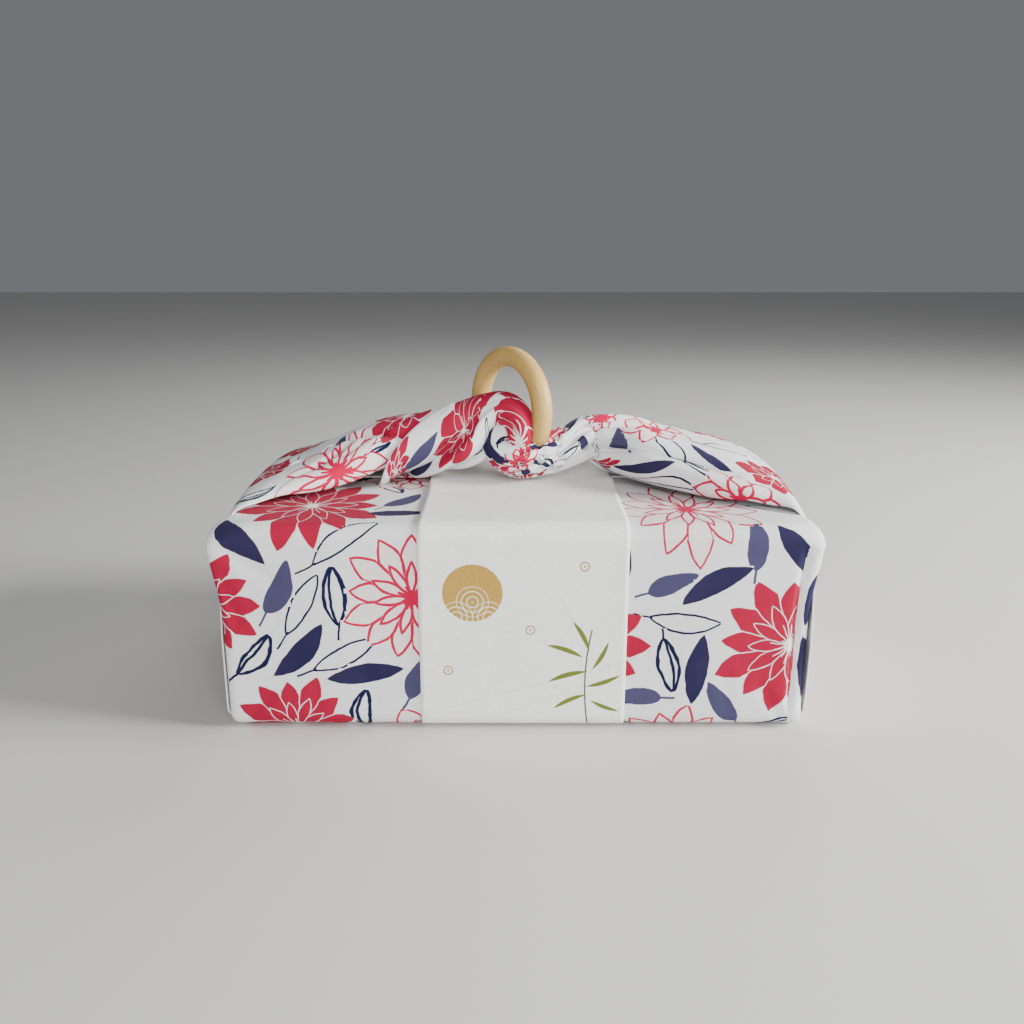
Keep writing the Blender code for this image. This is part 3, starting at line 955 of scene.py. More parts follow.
@dataclass
class WrapBody(Sheet):
    """The cloth over the front, the underside, the back and the top of the box.

    It is a profile in the Y-Z plane, carried along X and turned in round both ends.
    """

    front: float = -81.0
    back: float = 81.0
    edge_round: float = 7.0
    end_round: float = 3.5
    end_steps: int = 4
    lip: float = 2.6
    front_flap_end: float = 40.0
    back_flap_end: float = 2.0
    flap_rise: float = 1.6
    flap_ramp: float = 32.0
    flap_in: float = 2.4
    thickness: float = 0.5
    pitch: float = 2.1
    slack: float = 1.2
    slack_end: float = 125.0
    crease_x: float = 123.0
    crease_depth: float = 2.6
    crease_width: float = 1.3
    crease_step: float = 1.2
    crease_ramp: float = 1.5
    crease_columns: tuple[float, float, int] = (-2.4, 1.8, 8)
    crease_clear: float = 2.6
    crease_takes: float = 30.0
    takes_from: Place = (3.0, 20.0)
    takes_until: Place = (-110.0, -92.0)
    free_of_band: Place = (1.0, 8.0)
    free_of_end: float = 7.0
    recess: float = 0.85
    recess_ramp: float = 5.0
    corner_reach: float = 17.0
    corner_out: float = 5.0
    corner_drop: float = 4.0
    corner_from: float = 0.72
    right_corner: float = 0.9
    creases: tuple[Crease, ...] = creases(
        (-126, -2, -96, -26, 0.9, 3.2), (-124, -6, -118, -48, 0.8, 2.6), (-120, -4, -70, -13, 0.5, 2.6),
        (-124, -92, -100, -70, 0.7, 3.0), (-90, -93, -84, -60, 0.35, 3.5),
        (-60, -93, -66, -40, 0.3, 5.0), (122, -8, 92, -12, 0.6, 2.8), (124, -92, 106, -66, 0.9, 3.0),
        (98, -93, 92, -58, 0.4, 3.6), (66, -93, 70, -36, 0.3, 5.0), (-124, -260, -98, -282, 0.8, 3.2),
        (126, -262, 96, -290, 0.8, 3.2), (-122, -346, -92, -330, 0.8, 3.0),
        (124, -346, 100, -322, 0.8, 3.0), (-40, -352, -60, -300, 0.4, 5.0),
        (30, -352, 56, -306, 0.4, 5.0),
    )

    def _columns(self) -> tuple[Array, Array, Array]:
        """Where the columns lie across the cloth.

        Returns:
            Their places on the flat cloth, their X, and how far each is drawn into the box.
        """
        turns = np.linspace(0.0, 0.5 * math.pi, self.end_steps + 1)[1:]
        first, last = LEFT_END + self.end_round, RIGHT_END - self.end_round
        even = np.linspace(first, last, math.ceil((last - first) / self.pitch))
        near_crease = self.crease_x + self.crease_width * np.linspace(*self.crease_columns)
        keep = np.abs(even - self.crease_x) > self.crease_clear * self.crease_width
        even = np.sort(np.concatenate([even[keep], near_crease]))
        arc, reach = self.end_round * turns, self.end_round * np.sin(turns)
        drawn = self.end_round * (1.0 - np.cos(turns))
        x = np.concatenate([[LEFT_END], (first - reach)[::-1], even, last + reach, [RIGHT_END]])
        end = [self.end_round + self.lip]
        inward = np.concatenate([end, drawn[::-1], np.zeros(len(even)), drawn, end])
        edge = arc[-1] + self.lip
        place = np.concatenate([[first - edge], (first - arc)[::-1], even, last + arc, [last + edge]])
        return place, x, inward

    def _profile(self) -> tuple[Array, Array, Array]:
        """The profile, as its points, its outward normals and its places on the flat cloth.

        The place is 0 at the front edge of the top, positive over the front flap, and negative
        down the front, under the box, up the back and over the back flap.

        Returns:
            The three of them, a row for each point.
        """
        y = (self.front_flap_end, self.front, self.front, self.back, self.back, self.back_flap_end)
        corners = np.stack([y, (TOP, TOP, 0.0, 0.0, TOP, TOP)], axis=1)
        path = rounded_path(corners, (self.edge_round,) * 4, self.pitch)
        normals = outward(np.gradient(path, axis=0))
        return path, normals, (self.front_flap_end - self.front) - arc_lengths(path)

    def _depths(self, x: Array, path: Array, normals: Array) -> Array:
        """How far the slack and the folded edge by the right end move each point in.

        The slack stands out most half way up a side. The folded edge is a trough
        exp(-((x - crease) / width)^2) deep, and the cloth beyond it lies a step lower.

        Args:
            x: where the columns lie.
            path: the profile's points.
            normals: its outward normals.

        Returns:
            The depths.
        """
        climb = np.sin(math.pi * np.clip(path[:, 1] / TOP, 0.0, 1.0))
        off_band = np.abs(x - BAND_MIDDLE)
        panel = np.sin(math.pi * smoothstep(off_band, 0.5 * BAND_WIDTH, self.slack_end))
        slack = self.slack * np.outer(np.abs(normals[:, 0]) * climb, panel)
        fold = self.crease_depth * np.exp(-(((x - self.crease_x) / self.crease_width) ** 2))
        beyond = smoothstep(x, self.crease_x, self.crease_x + self.crease_ramp)
        fold = fold + self.crease_step * beyond
        return np.outer((normals[:, 0] < -0.999) * np.sqrt(climb), fold) - slack

    def build(self) -> Object:
        """Builds the piece.

        A point of the profile is moved in along the profile's own normal by the round at the
        ends and by the creases, and out by the cloth's slack. Under the box the cloth lies
        higher by the recess where the band is, the flap that is under the other narrows, and
        the four top corners stand out and droop. The print skips what the folded edge takes.

        Returns:
            The piece.
        """
        path, normals, flat_along = self._profile()
        on_top = path[:, 1] > TOP - 1e-6
        behind = flat_along < -1.5 * TOP
        lap = smoothstep(-path[:, 0], -2.0 * self.flap_ramp, -self.flap_ramp)
        path[:, 1] += self.flap_rise * lap * (on_top & behind)

        flat_across, x, inward = self._columns()
        off_band = np.abs(x - BAND_MIDDLE) - 0.5 * BAND_WIDTH
        deep = inward[None, :] + self._depths(x, path, normals)
        places = np.stack(np.broadcast_arrays(flat_across[None, :], flat_along[:, None]), axis=-1)
        free = smoothstep(-np.abs(x), -RIGHT_END, self.free_of_end - RIGHT_END)
        free = smoothstep(off_band, *self.free_of_band) * free
        for crease in self.creases:
            deep = deep + crease.depth_at(places) * free[None, :]

        covered = smoothstep(path[:, 0], self.front + self.edge_round, self.back_flap_end)
        covered = covered * (on_top & ~behind)
        grid = carried(x, path, normals, -deep)
        grid[:, :, 0] -= self.flap_in * np.outer(covered, x / RIGHT_END)
        under_band = 1.0 - smoothstep(off_band, 0.0, self.recess_ramp)
        grid[:, :, 2] += self.recess * np.outer(normals[:, 1] < -0.5, under_band)

        near_end = smoothstep(-np.minimum(x - LEFT_END, RIGHT_END - x), -self.corner_reach, 0.0)
        out_y = smoothstep(np.abs(grid[:, :, 1]), self.corner_from * self.back, self.back)
        corner = near_end[None, :] * out_y * smoothstep(grid[:, :, 2], 0.5 * TOP, TOP)
        grid[:, :, 0] += self.corner_out * corner * np.where(x < 0, -1.0, self.right_corner)
        grid[:, :, 2] -= self.corner_drop * corner**2

        taken = smoothstep(-flat_along, *self.takes_from) * smoothstep(flat_along, *self.takes_until)
        places = places.copy()
        places[:, :, 0] += self.crease_takes * np.outer(taken, x > self.crease_x)
        hem_gap = np.minimum(flat_along - flat_along[-1], flat_along[0] - flat_along)
        hem_gap = np.broadcast_to(hem_gap[:, None], places.shape[:2])
        return self.piece(grid, places, hem_gap, True, self.thickness)


@dataclass
class Strip(Sheet):
    """A strip of cloth along an axis, open as an arch or rolled up.

    A section of it is an arc of an ellipse about its axis, from -wrap to wrap. Where wrap is
    under 90 degrees its ends are level with the axis. Folds draw it in towards the axis.
    """

    rows: tuple[tuple[float, ...], ...]
    valleys: tuple[float, ...]
    small_valleys: tuple[float, ...]
    creases: tuple[Crease, ...] = ()
    thickness: float = 0.6
    pitch: float = 1.8
    columns: int = 132
    overlap: float = 26.0
    tucked: float = 0.16
    tucked_from: float = 0.86
    rolled: Place = (150.0, 180.0)
    lean: float = 0.42
    leaning_fold: float = 0.25
    leaning_small_fold: float = 0.15
    hem_share: float = 1.1
    straight_rows: int = 0
    hem_from: float = 0.0
    flip: bool = False

    @staticmethod
    def _fold(share: Array, valleys: tuple[float, ...]) -> tuple[Array, Array]:
        """Folds between valleys, whose backs lean over the next valley.

        At a share s of the way from a valley to the next, with b = sin(pi s^1.6), the depth
        under the fold's back is 1 - b^0.6, and the fold leans over by its own width times
        s^0.5 b.

        Args:
            share: places across the sheet.
            valleys: where the valleys are.

        Returns:
            The depth and the lean.
        """
        marks = np.array(valleys)
        i = np.clip(np.searchsorted(marks, share, side="right") - 1, 0, len(marks) - 2)
        width = marks[i + 1] - marks[i]
        local = np.clip((share - marks[i]) / width, 0.0, 1.0)
        back = np.sin(math.pi * local**1.6)
        return 1.0 - np.maximum(back, 0.0) ** 0.6, width * np.sqrt(local) * back

    def _frames(self, rows: Array) -> tuple[Array, Array]:
        """Across and outward directions at each row of the table, with across level.

        Args:
            rows: the rows.

        Returns:
            The directions across and outward, a row each.
        """
        along = unit(np.gradient(rows[:, :3], axis=0))
        across = unit(np.cross(along, np.array([0.0, 0.0, 1.0])))
        return across, np.cross(across, along)

    def _sections(self, rows: Array, shares: Array) -> Array:
        """The grid of points, in mm, from the table's rows and places across the sheet.

        Args:
            rows: the table's rows, at each step along the axis.
            shares: places across the sheet, from -1.1 to 1.1.

        Returns:
            The grid.
        """
        half, rise, wrap, twist, fold, small_fold = (rows[:, k : k + 1] for k in range(3, 9))
        across, outwards = self._frames(rows)
        hem = smoothstep(-shares[None, :], self.tucked_from, 1.0) * smoothstep(wrap, *self.rolled)
        wrap, twist = np.radians(wrap), np.radians(twist)
        main, main_lean = self._fold(shares, self.valleys)
        small, small_lean = self._fold(shares, self.small_valleys)
        leaned = smoothstep(fold, 0.0, self.leaning_fold) * main_lean
        small_leaned = smoothstep(small_fold, 0.0, self.leaning_small_fold) * small_lean
        leaned = self.lean * (leaned + small_leaned)
        angle = wrap * (shares[None, :] + leaned) - math.radians(self.overlap) * hem
        level = np.maximum(np.cos(wrap), 0.0)
        wide = half * np.sin(angle + twist) / np.sin(np.minimum(wrap, 0.5 * math.pi))
        high = rise * (np.cos(angle + twist) - level) / (1.0 - level)
        drawn = 1.0 - fold * main[None, :] - small_fold * small[None, :] - self.tucked * hem
        return (
            rows[:, None, :3]
            + (wide * drawn)[:, :, None] * across[:, None, :]
            + (high * drawn)[:, :, None] * outwards[:, None, :]
        )

    def build(self) -> Object:
        """Builds the piece, with its print laid by true lengths across and along it.

        Returns:
            The piece.
        """
        table = np.array(self.rows, float)
        run = arc_lengths(table[:, :3])
        at = np.linspace(0.0, run[-1], math.ceil(run[-1] / self.pitch) + 1)
        flat = np.stack([np.interp(at, run, column) for column in table.T], axis=1)
        smooth = (at >= run[self.straight_rows])[:, None]
        rows = np.where(smooth, cubic_rows(table, run, at), flat)
        shares = self._shares()
        grid = self._sections(rows, shares)
        across = np.linalg.norm(np.diff(grid, axis=1), axis=2)
        across = np.concatenate([np.zeros((len(grid), 1)), np.cumsum(across, axis=1)], axis=1)
        middle = int(np.argmin(np.abs(shares)))
        along = arc_lengths(grid[:, middle])[:, None]
        hem_gap = np.minimum(across, across[:, -1:] - across)
        hem_gap = np.where(along < self.hem_from, NO_HEM, hem_gap)
        across = across - across[:, middle : middle + 1]
        places = np.stack(np.broadcast_arrays(across, along), axis=-1)
        down = unit(np.cross(np.gradient(grid, axis=0), np.gradient(grid, axis=1)))
        down = -down if self.flip else down
        for crease in self.creases:
            grid = grid + down * crease.depth_at(places)[:, :, None]
        return self.piece(grid, places, hem_gap, self.flip, self.thickness)

    def _shares(self) -> Array:
        """Places across the sheet, with one in each valley.

        Returns:
            The places, from one hem to the other.
        """
        even = np.linspace(-self.hem_share, self.hem_share, self.columns + 1)
        marks = {*self.valleys, *self.small_valleys}
        marks = np.array(sorted(mark for mark in marks if abs(mark) <= self.hem_share))
        even[np.argmin(np.abs(even[None, :] - marks[:, None]), axis=1)] = marks
        return even


@dataclass
class Ear(Strip):
    """A corner of the cloth: a strip up the box's end, an arch over the top, and a rope."""

    open_wrap: float = 110.0
    rolled_wrap: float = 170.0
    straight_rows: int = 6
    hem_from: float = 112.0

    def _frames(self, rows: Array) -> tuple[Array, Array]:
        """Across and outward directions: across is Y until the strip is rolled up.

        Args:
            rows: the rows.

        Returns:
            The directions across and outward, a row each.
        """
        along = np.gradient(rows[:, :3], axis=0)
        along[:, 1] *= smoothstep(rows[:, 5], self.open_wrap, self.rolled_wrap)
        along = unit(along)
        across = unit(np.array([0.0, 1.0, 0.0]) - along * along[:, 1:2])
        return across, np.cross(across, along) * (-1.0 if self.flip else 1.0)


@dataclass
class Tuck(Sheet):
    """The cloth that is folded in flat over an end of the box, under its strip."""

    side: Side
    end: float
    depth: float = 154.0
    height: float = 86.0
    middle: float = 47.0
    below: float = 1.6
    fold_depth: float = 0.5
    thickness: float = 0.5
    pitch: float = 3.0

    def build(self) -> Object:
        """Builds the piece: a flat panel, with a low step along its two slanting folds.

        Returns:
            The piece.
        """
        y = np.linspace(-0.5, 0.5, math.ceil(self.depth / self.pitch) + 1) * self.depth
        z = np.linspace(-0.5, 0.5, math.ceil(self.height / self.pitch) + 1) * self.height
        y, z = np.meshgrid(y, z)
        slant = np.abs(y) - (0.5 * self.depth - 0.5 * self.height - np.abs(z))
        fold = self.fold_depth * smoothstep(slant, -2.0, 2.0)
        x = self.end - self.side.value * (self.below - fold)
        grid = np.stack([x, y, z + self.middle], axis=-1)
        hem_gap = np.full(y.shape, NO_HEM)
        places = np.stack([y, z], axis=-1)
        return self.piece(grid, places, hem_gap, self.side is Side.LEFT, self.thickness)


# Columns: x, y, z of the axis, half width, rise of the crown over the axis, wrap to each side
# of the crown, twist, and the depths of the main and small folds as shares of the section.
LEFT_EAR_ROWS = (
    (-108, 0, 0.2, 66, 0, 60, 0, 0, 0),
    (-121, 0, 0.2, 67, 0, 60, 0, 0, 0),
    (-126, 0, 2, 71, 0.2, 60, 0, 0, 0),
    (-127.6, 0, 7, 74, 0.6, 60, 0, 0, 0),
    (-127.8, 0, 40, 74, 1.8, 60, 0, 0, 0),
    (-127.8, 1, 75, 71, 2.2, 60, 0, 0.01, 0),
    (-126.8, 2, 89, 67.5, 2.6, 62, 0, 0.02, 0),
    (-122.4, 3, 95.6, 63.5, 4, 68, 0, 0.04, 0.01),
    (-114, 4, 97.2, 59, 7, 79, 0, 0.1, 0.01),
    (-105, 5, 97.4, 54.5, 10, 90, 0, 0.2, 0.02),
    (-94.5, 5, 98.2, 48.5, 13.4, 102, 2, 0.29, 0.03),
    (-82, 4, 101.4, 40, 15.2, 118, 8, 0.34, 0.04),
    (-70, 2, 106.4, 31, 16, 138, 20, 0.36, 0.06),
    (-58, 0, 110, 23.5, 16.4, 160, 45, 0.38, 0.08),
    (-46, -2, 112.3, 19.5, 16.8, 176, 75, 0.4, 0.1),
    (-34, -3, 115.6, 18, 17.2, 176, 105, 0.4, 0.12),
    (-22, -4, 119.4, 17.2, 17.4, 176, 132, 0.38, 0.12),
    (-11, -4.5, 127, 12.6, 13.2, 176, 155, 0.36, 0.13),
    (-3, -7, 130, 9.6, 10.6, 176, 170, 0.28, 0.08),
    (2.5, -11, 126.5, 8, 8.6, 176, 180, 0.22, 0.05),
    (4, -12, 119.5, 7, 7.2, 176, 185, 0.18, 0.04),
    (2.5, -9, 112.5, 6.2, 6.2, 176, 190, 0.16, 0.05),
    (0.5, -3, 108.5, 5, 4.5, 176, 190, 0.12, 0.04),
    (-1, 2, 107.5, 0.6, 0.6, 176, 190, 0, 0),
)
RIGHT_EAR_ROWS = (
    (112, 0, 0.2, 66, 0, 60, 0, 0, 0),
    (124.5, 0, 0.2, 67, 0, 60, 0, 0, 0),
    (129.5, 0, 2, 71, 0.2, 60, 0, 0, 0),
    (131.1, 0, 7, 74.5, 0.6, 60, 0, 0, 0),
    (131.3, 0, 40, 76, 1.8, 60, 0, 0, 0),
    (131.3, 1, 75, 74, 2.4, 60, 0, 0.01, 0),
    (130.3, 3, 89.5, 69.5, 3.4, 62, 0, 0.02, 0),
    (125.5, 5.5, 96.4, 64.5, 6.2, 72, 0, 0.02, 0.01),
    (116, 7, 97.4, 61, 10.6, 82, 0, 0.04, 0.01),
    (105, 7, 98, 58, 14.4, 92, 0, 0.09, 0.02),
    (93, 7, 99.2, 53.5, 16.4, 103, 0, 0.14, 0.03),
    (80, 7, 101.8, 46.5, 17.2, 114, 0, 0.19, 0.04),
    (68, 6, 105.5, 38.5, 17, 127, -4, 0.24, 0.06),
    (57, 5, 110, 29.5, 17, 142, -12, 0.32, 0.1),
    (47, 4, 114, 19, 15.2, 164, -25, 0.42, 0.16),
    (38, 2, 116, 13.2, 12.8, 176, -42, 0.46, 0.2),
    (29, -1, 112.8, 12, 11.4, 176, -60, 0.42, 0.18),
    (21, -4, 110.4, 11.4, 10.8, 176, -75, 0.4, 0.16),
    (12, -8, 109.2, 11.2, 10.6, 176, -88, 0.4, 0.18),
    (3, -11, 108.3, 10.4, 10.4, 176, -98, 0.3, 0.12),
    (-5, -11, 110.5, 8.4, 8.6, 176, -106, 0.22, 0.08),
    (-8.5, -9.5, 116.5, 6.8, 6.4, 176, -112, 0.16, 0.05),
    (-6, -10, 121, 5.6, 5.4, 176, -116, 0.12, 0.04),
    (-2.5, -8, 122.5, 4, 4, 176, -120, 0.08, 0.02),
    (0.5, -5, 121, 0.6, 0.6, 176, -124, 0, 0),
)
LEFT_TIP_ROWS = (
    (1, 4, 111, 6, 6, 176, 0, 0.2, 0.08),
    (6, 14, 111.5, 8, 6, 172, 0, 0.24, 0.1),
    (13, 25, 107.5, 10, 4.5, 165, 6, 0.24, 0.1),
    (20, 36, 102.5, 9, 3.2, 155, 10, 0.2, 0.08),
    (26, 47, 99.2, 5, 2, 150, 8, 0.12, 0.04),
    (30, 55, 98.2, 0.8, 0.8, 150, 5, 0, 0),
)
RIGHT_TIP_ROWS = (
    (-4, 2, 120, 6, 6, 176, 0, 0.2, 0.08),
    (-11, 12, 119, 8.5, 6, 172, 0, 0.24, 0.1),
    (-18, 23, 113, 10.5, 4.5, 165, -6, 0.24, 0.1),
    (-25, 34, 105.5, 10, 3.4, 155, -10, 0.2, 0.08),
    (-31, 44, 100.4, 6, 2.2, 150, -8, 0.12, 0.04),
    (-35, 52, 98.6, 0.8, 0.8, 150, -5, 0, 0),
)


def repeated(chart: Chart, along: float) -> Chart:
    """A chart moved along the flat cloth, as the print's next repeat."""
    return tuple((row[0], row[1] + along, *row[2:]) for row in chart)


FRONT_CHART: Chart = (
    (-91, 33, RED, 44, 100, 0.78), (-135.5, -32, RED, 29, 40, 1), (-96, -92.5, RED, 29, 0, 0.98),
    (29, -52, RED, 33, 15, 1), (121, -51, RED, 34.5, 78, 1), (-43, -29, OPEN, 32, 20, 1),
    (-39, -101, OPEN, 24, 50, 1), (78, 27, OPEN, 43, 93, 0.78), (72.5, -107, OPEN, 29, 10, 1),
    (-113.5, -1, NAVY, 15.5, -56, 1), (-93.5, -53, NAVY, 17, 48, 1), (-64.5, -64.5, NAVY, 17, 8, 0.95),
    (-52, 21, NAVY, 15, 4, 1), (-82, 84, NAVY, 13, 15, 1), (88, -23.5, NAVY, 17, 29, 1),
    (121, -8.5, NAVY, 15, -57, 1), (47.5, -15, NAVY, 13, 85, 1), (81.5, -62.5, NAVY, 17, 83, 1),
    (-101, -24, SLATE, 13, 67, 1.05), (-40, -66, SLATE, 12, 63, 1), (-51, 43, SLATE, 13, 58, 1),
    (69, -22.5, SLATE, 11.5, 22, 1), (103.5, -4.5, SLATE, 12, 92, 1.05), (93, -78, SLATE, 12, 124, 1),
    (54.5, -77, SLATE, 11.5, 184, 1), (-71, -4, LINE, 17, 35, 0.85), (-90.5, -32, LINE, 15.8, 62, 0.9),
    (-73, -55, LINE, 15.8, 28, 0.9), (74.8, -39, LINE, 15.5, -5, 0.95), (117, 26, LINE, 13, -38, 0.8),
    (-76, -28, BRUSH, 13.5, 95, 1.15), (-113, -55.5, BRUSH, 12, 50, 1.25),
    (-65, -83, BRUSH, 11, 88, 1.25), (68.5, -60.5, BRUSH, 13, -77, 1.15),
    (119, -89, BRUSH, 11, 20, 1.2), (-60, 64, BRUSH, 11, -50, 1),
)
FOLD_CHART: Chart = (
    (159, -26, NAVY, 17, 84, 1), (158, -62, NAVY, 15, 94, 1), (-52, 84, OPEN, 24, 30, 1),
)
MIDDLE_CHART: Chart = (
    (0, 24, RED, 29, 5, 1), (-8, -24, OPEN, 29, 25, 1), (6, -88, NAVY, 16, 30, 1),
    (-18, -64, LINE, 15, -20, 0.9), (14, 62, SLATE, 13, 70, 1), (-20, 66, LINE, 15, 35, 0.9),
    (34, 70, NAVY, 15, 110, 1), (-116, 76, SLATE, 12, 30, 1), (126, 80, RED, 26, 5, 1),
)
REPEAT = 200.0
BACK_CHART = FRONT_CHART + MIDDLE_CHART
BODY_CHART: Chart = (
    FRONT_CHART + FOLD_CHART + repeated(BACK_CHART, -REPEAT) + repeated(BACK_CHART, -2.0 * REPEAT)
)
END_CHART: Chart = (
    (4, 58, RED, 29, 12, 1), (-46, 34, OPEN, 29, 30, 1), (54, 92, OPEN, 29, 60, 1),
    (48, 26, RED, 25, 40, 1), (-44, 82, NAVY, 16, 60, 1), (-70, 70, SLATE, 12, 100, 1),
    (2, 16, NAVY, 15, 20, 1), (-16, 22, LINE, 9, 95, 0.9), (16, 98, SLATE, 11, 130, 1),
    (44, 62, BRUSH, 12, 40, 1), (68, 58, NAVY, 14, 80, 1), (-22, 92, BRUSH, 11, 20, 1),
    (-4, 98, LINE, 14, 75, 0.9),
)
LEFT_EAR_CHART: Chart = END_CHART + (
    (-64, 162, OPEN, 31, 90, 1), (-6, 139, LINE, 15, 60, 0.9), (-39, 163, SLATE, 12, 12, 1),
    (-46, 201, RED, 22, 10, 1), (-20, 120, RED, 20, 20, 1), (-54, 125, BRUSH, 11, 80, 1),
    (-64, 186, BRUSH, 9, 85, 1), (62, 208, SLATE, 11, 92, 1), (48, 203, NAVY, 8, 80, 1),
    (50, 236, RED, 28, 85, 0.64), (-58, 228, LINE, 9, 60, 0.8), (26, 240, LINE, 12, 92, 0.8),
    (44, 263, RED, 17, 0, 1), (10, 267, RED, 22, 40, 1), (70, 193, RED, 12, 0, 1),
    (24, 140, RED, 26, 0, 1), (30, 180, NAVY, 15, 80, 1), (8, 176, LINE, 14, 95, 0.9),
    (4, 216, OPEN, 18, 95, 1), (50, 166, OPEN, 17, 95, 1), (-12, 192, NAVY, 12, 100, 1),
    (-20, 246, RED, 16, 30, 1),
)
RIGHT_EAR_CHART: Chart = END_CHART + (
    (-12, 183, OPEN, 22, 90, 1), (-54, 187, NAVY, 13, -92, 1), (-27, 201, SLATE, 11, 25, 1),
    (-38, 177, LINE, 14, -145, 0.9), (-39, 157, NAVY, 12, -130, 1), (-55, 160, BRUSH, 11, -105, 1),
    (-16, 146, LINE, 12, -80, 0.9), (-67, 176, LINE, 12, -95, 0.9), (-67, 147, OPEN, 20, 20, 1),
    (-38, 126, RED, 20, 20, 1), (-54, 210, RED, 13, 0, 1), (-27, 218, LINE, 9, 20, 0.9),
    (-17, 229, NAVY, 8, 10, 1), (-1, 213, OPEN, 10, 0, 1), (12, 225, SLATE, 9, 100, 1),
    (4, 232, BRUSH, 8, 80, 1), (12, 241, OPEN, 9, 0, 1), (-14, 240, LINE, 8, 95, 0.9),
    (3, 249, NAVY, 9, 60, 1), (-9, 251, BRUSH, 8, 40, 1), (-12, 260, NAVY, 6, 20, 1),
    (12, 259, RED, 9, 0, 1), (-2, 262, OPEN, 10, 40, 1), (-28, 258, RED, 13, 0, 1),
    (-14, 270, RED, 9, 0, 1), (-3, 276, NAVY, 11, 95, 1.15), (6, 285, BRUSH, 8, 70, 1),
    (0, 136, LINE, 14, 60, 0.9), (36, 150, RED, 26, 0, 1), (22, 180, NAVY, 15, 80, 1),
    (46, 196, OPEN, 20, 0, 1), (26, 208, RED, 16, 0, 1), (28, 240, RED, 14, 0, 1),
)
TIP_CHART: Chart = (
    (6, 20, RED, 18, 0, 1), (-12, 34, NAVY, 12, 80, 1), (8, 48, LINE, 12, 95, 0.9),
)
LEFT_EAR_CREASES = creases(
    (-66, 20, -40, 100, 0.9, 4.0), (60, 14, 30, 104, 0.9, 4.5), (-10, 60, -4, 118, 0.7, 5.0),
    (-60, 132, -44, 186, 1.6, 2.6), (-30, 120, -28, 186, 2.2, 3.0), (-2, 124, -42, 165, 3.0, 2.6),
    (-34, 154, -66, 206, 3.4, 2.4), (-44, 186, -14, 204, 1.0, 1.8), (10, 120, 6, 190, 1.4, 3.4),
    (44, 118, 34, 186, 1.5, 3.4),
)
RIGHT_EAR_CREASES = creases(
    (-64, 16, -42, 100, 0.9, 4.5), (62, 20, 34, 100, 0.9, 4.0), (6, 62, 2, 118, 0.7, 5.0),
    (-52, 126, -46, 190, 1.0, 3.0), (-30, 150, -14, 208, 1.8, 2.8), (-8, 130, -2, 206, 1.0, 3.2),
    (26, 118, 16, 196, 1.5, 3.4), (-44, 214, 16, 222, 1.7, 2.4), (-34, 243, 16, 239, 1.5, 2.0),
    (-34, 254, 14, 250, 1.7, 1.8), (-28, 265, 12, 260, 1.5, 1.8),
)


@dataclass
class Ring:
    """The turned wooden ring that stands in the knot."""

    wood: Material
    centre: tuple[float, float, float] = (-0.8, 8.0, 130.0)
    radius: float = 25.0
    half_thickness: float = 5.0
    flattened: float = 0.012
    around: int = 192
    about: int = 48

    def build(self) -> Object:
        """Builds the piece: a circle of the wood's section, carried round a circle.

        The section's radius is r (1 - f cos 4b) at the angle b, so that it is a little flat on
        its four sides, as turned rings are.

        Returns:
            The piece.
        """
        a, b = (np.linspace(0.0, TAU, count, endpoint=False) for count in (self.around, self.about))
        a, b = np.meshgrid(a, b, indexing="ij")
        section = self.half_thickness * (1.0 - self.flattened * np.cos(4.0 * b))
        out = self.radius + section * np.cos(b)
        x, y = turned(out * np.cos(a), section * np.sin(b), math.radians(RING_TURN))
        grid = np.stack([x, -y, out * np.sin(a)], axis=-1) + np.array(self.centre)
        faces = quads(self.around + 1, self.about, closed=True) % (self.around * self.about)
        piece = mesh_piece("wood_ring", grid, faces)
        dress(piece, "ring_wood", self.wood)
        return piece


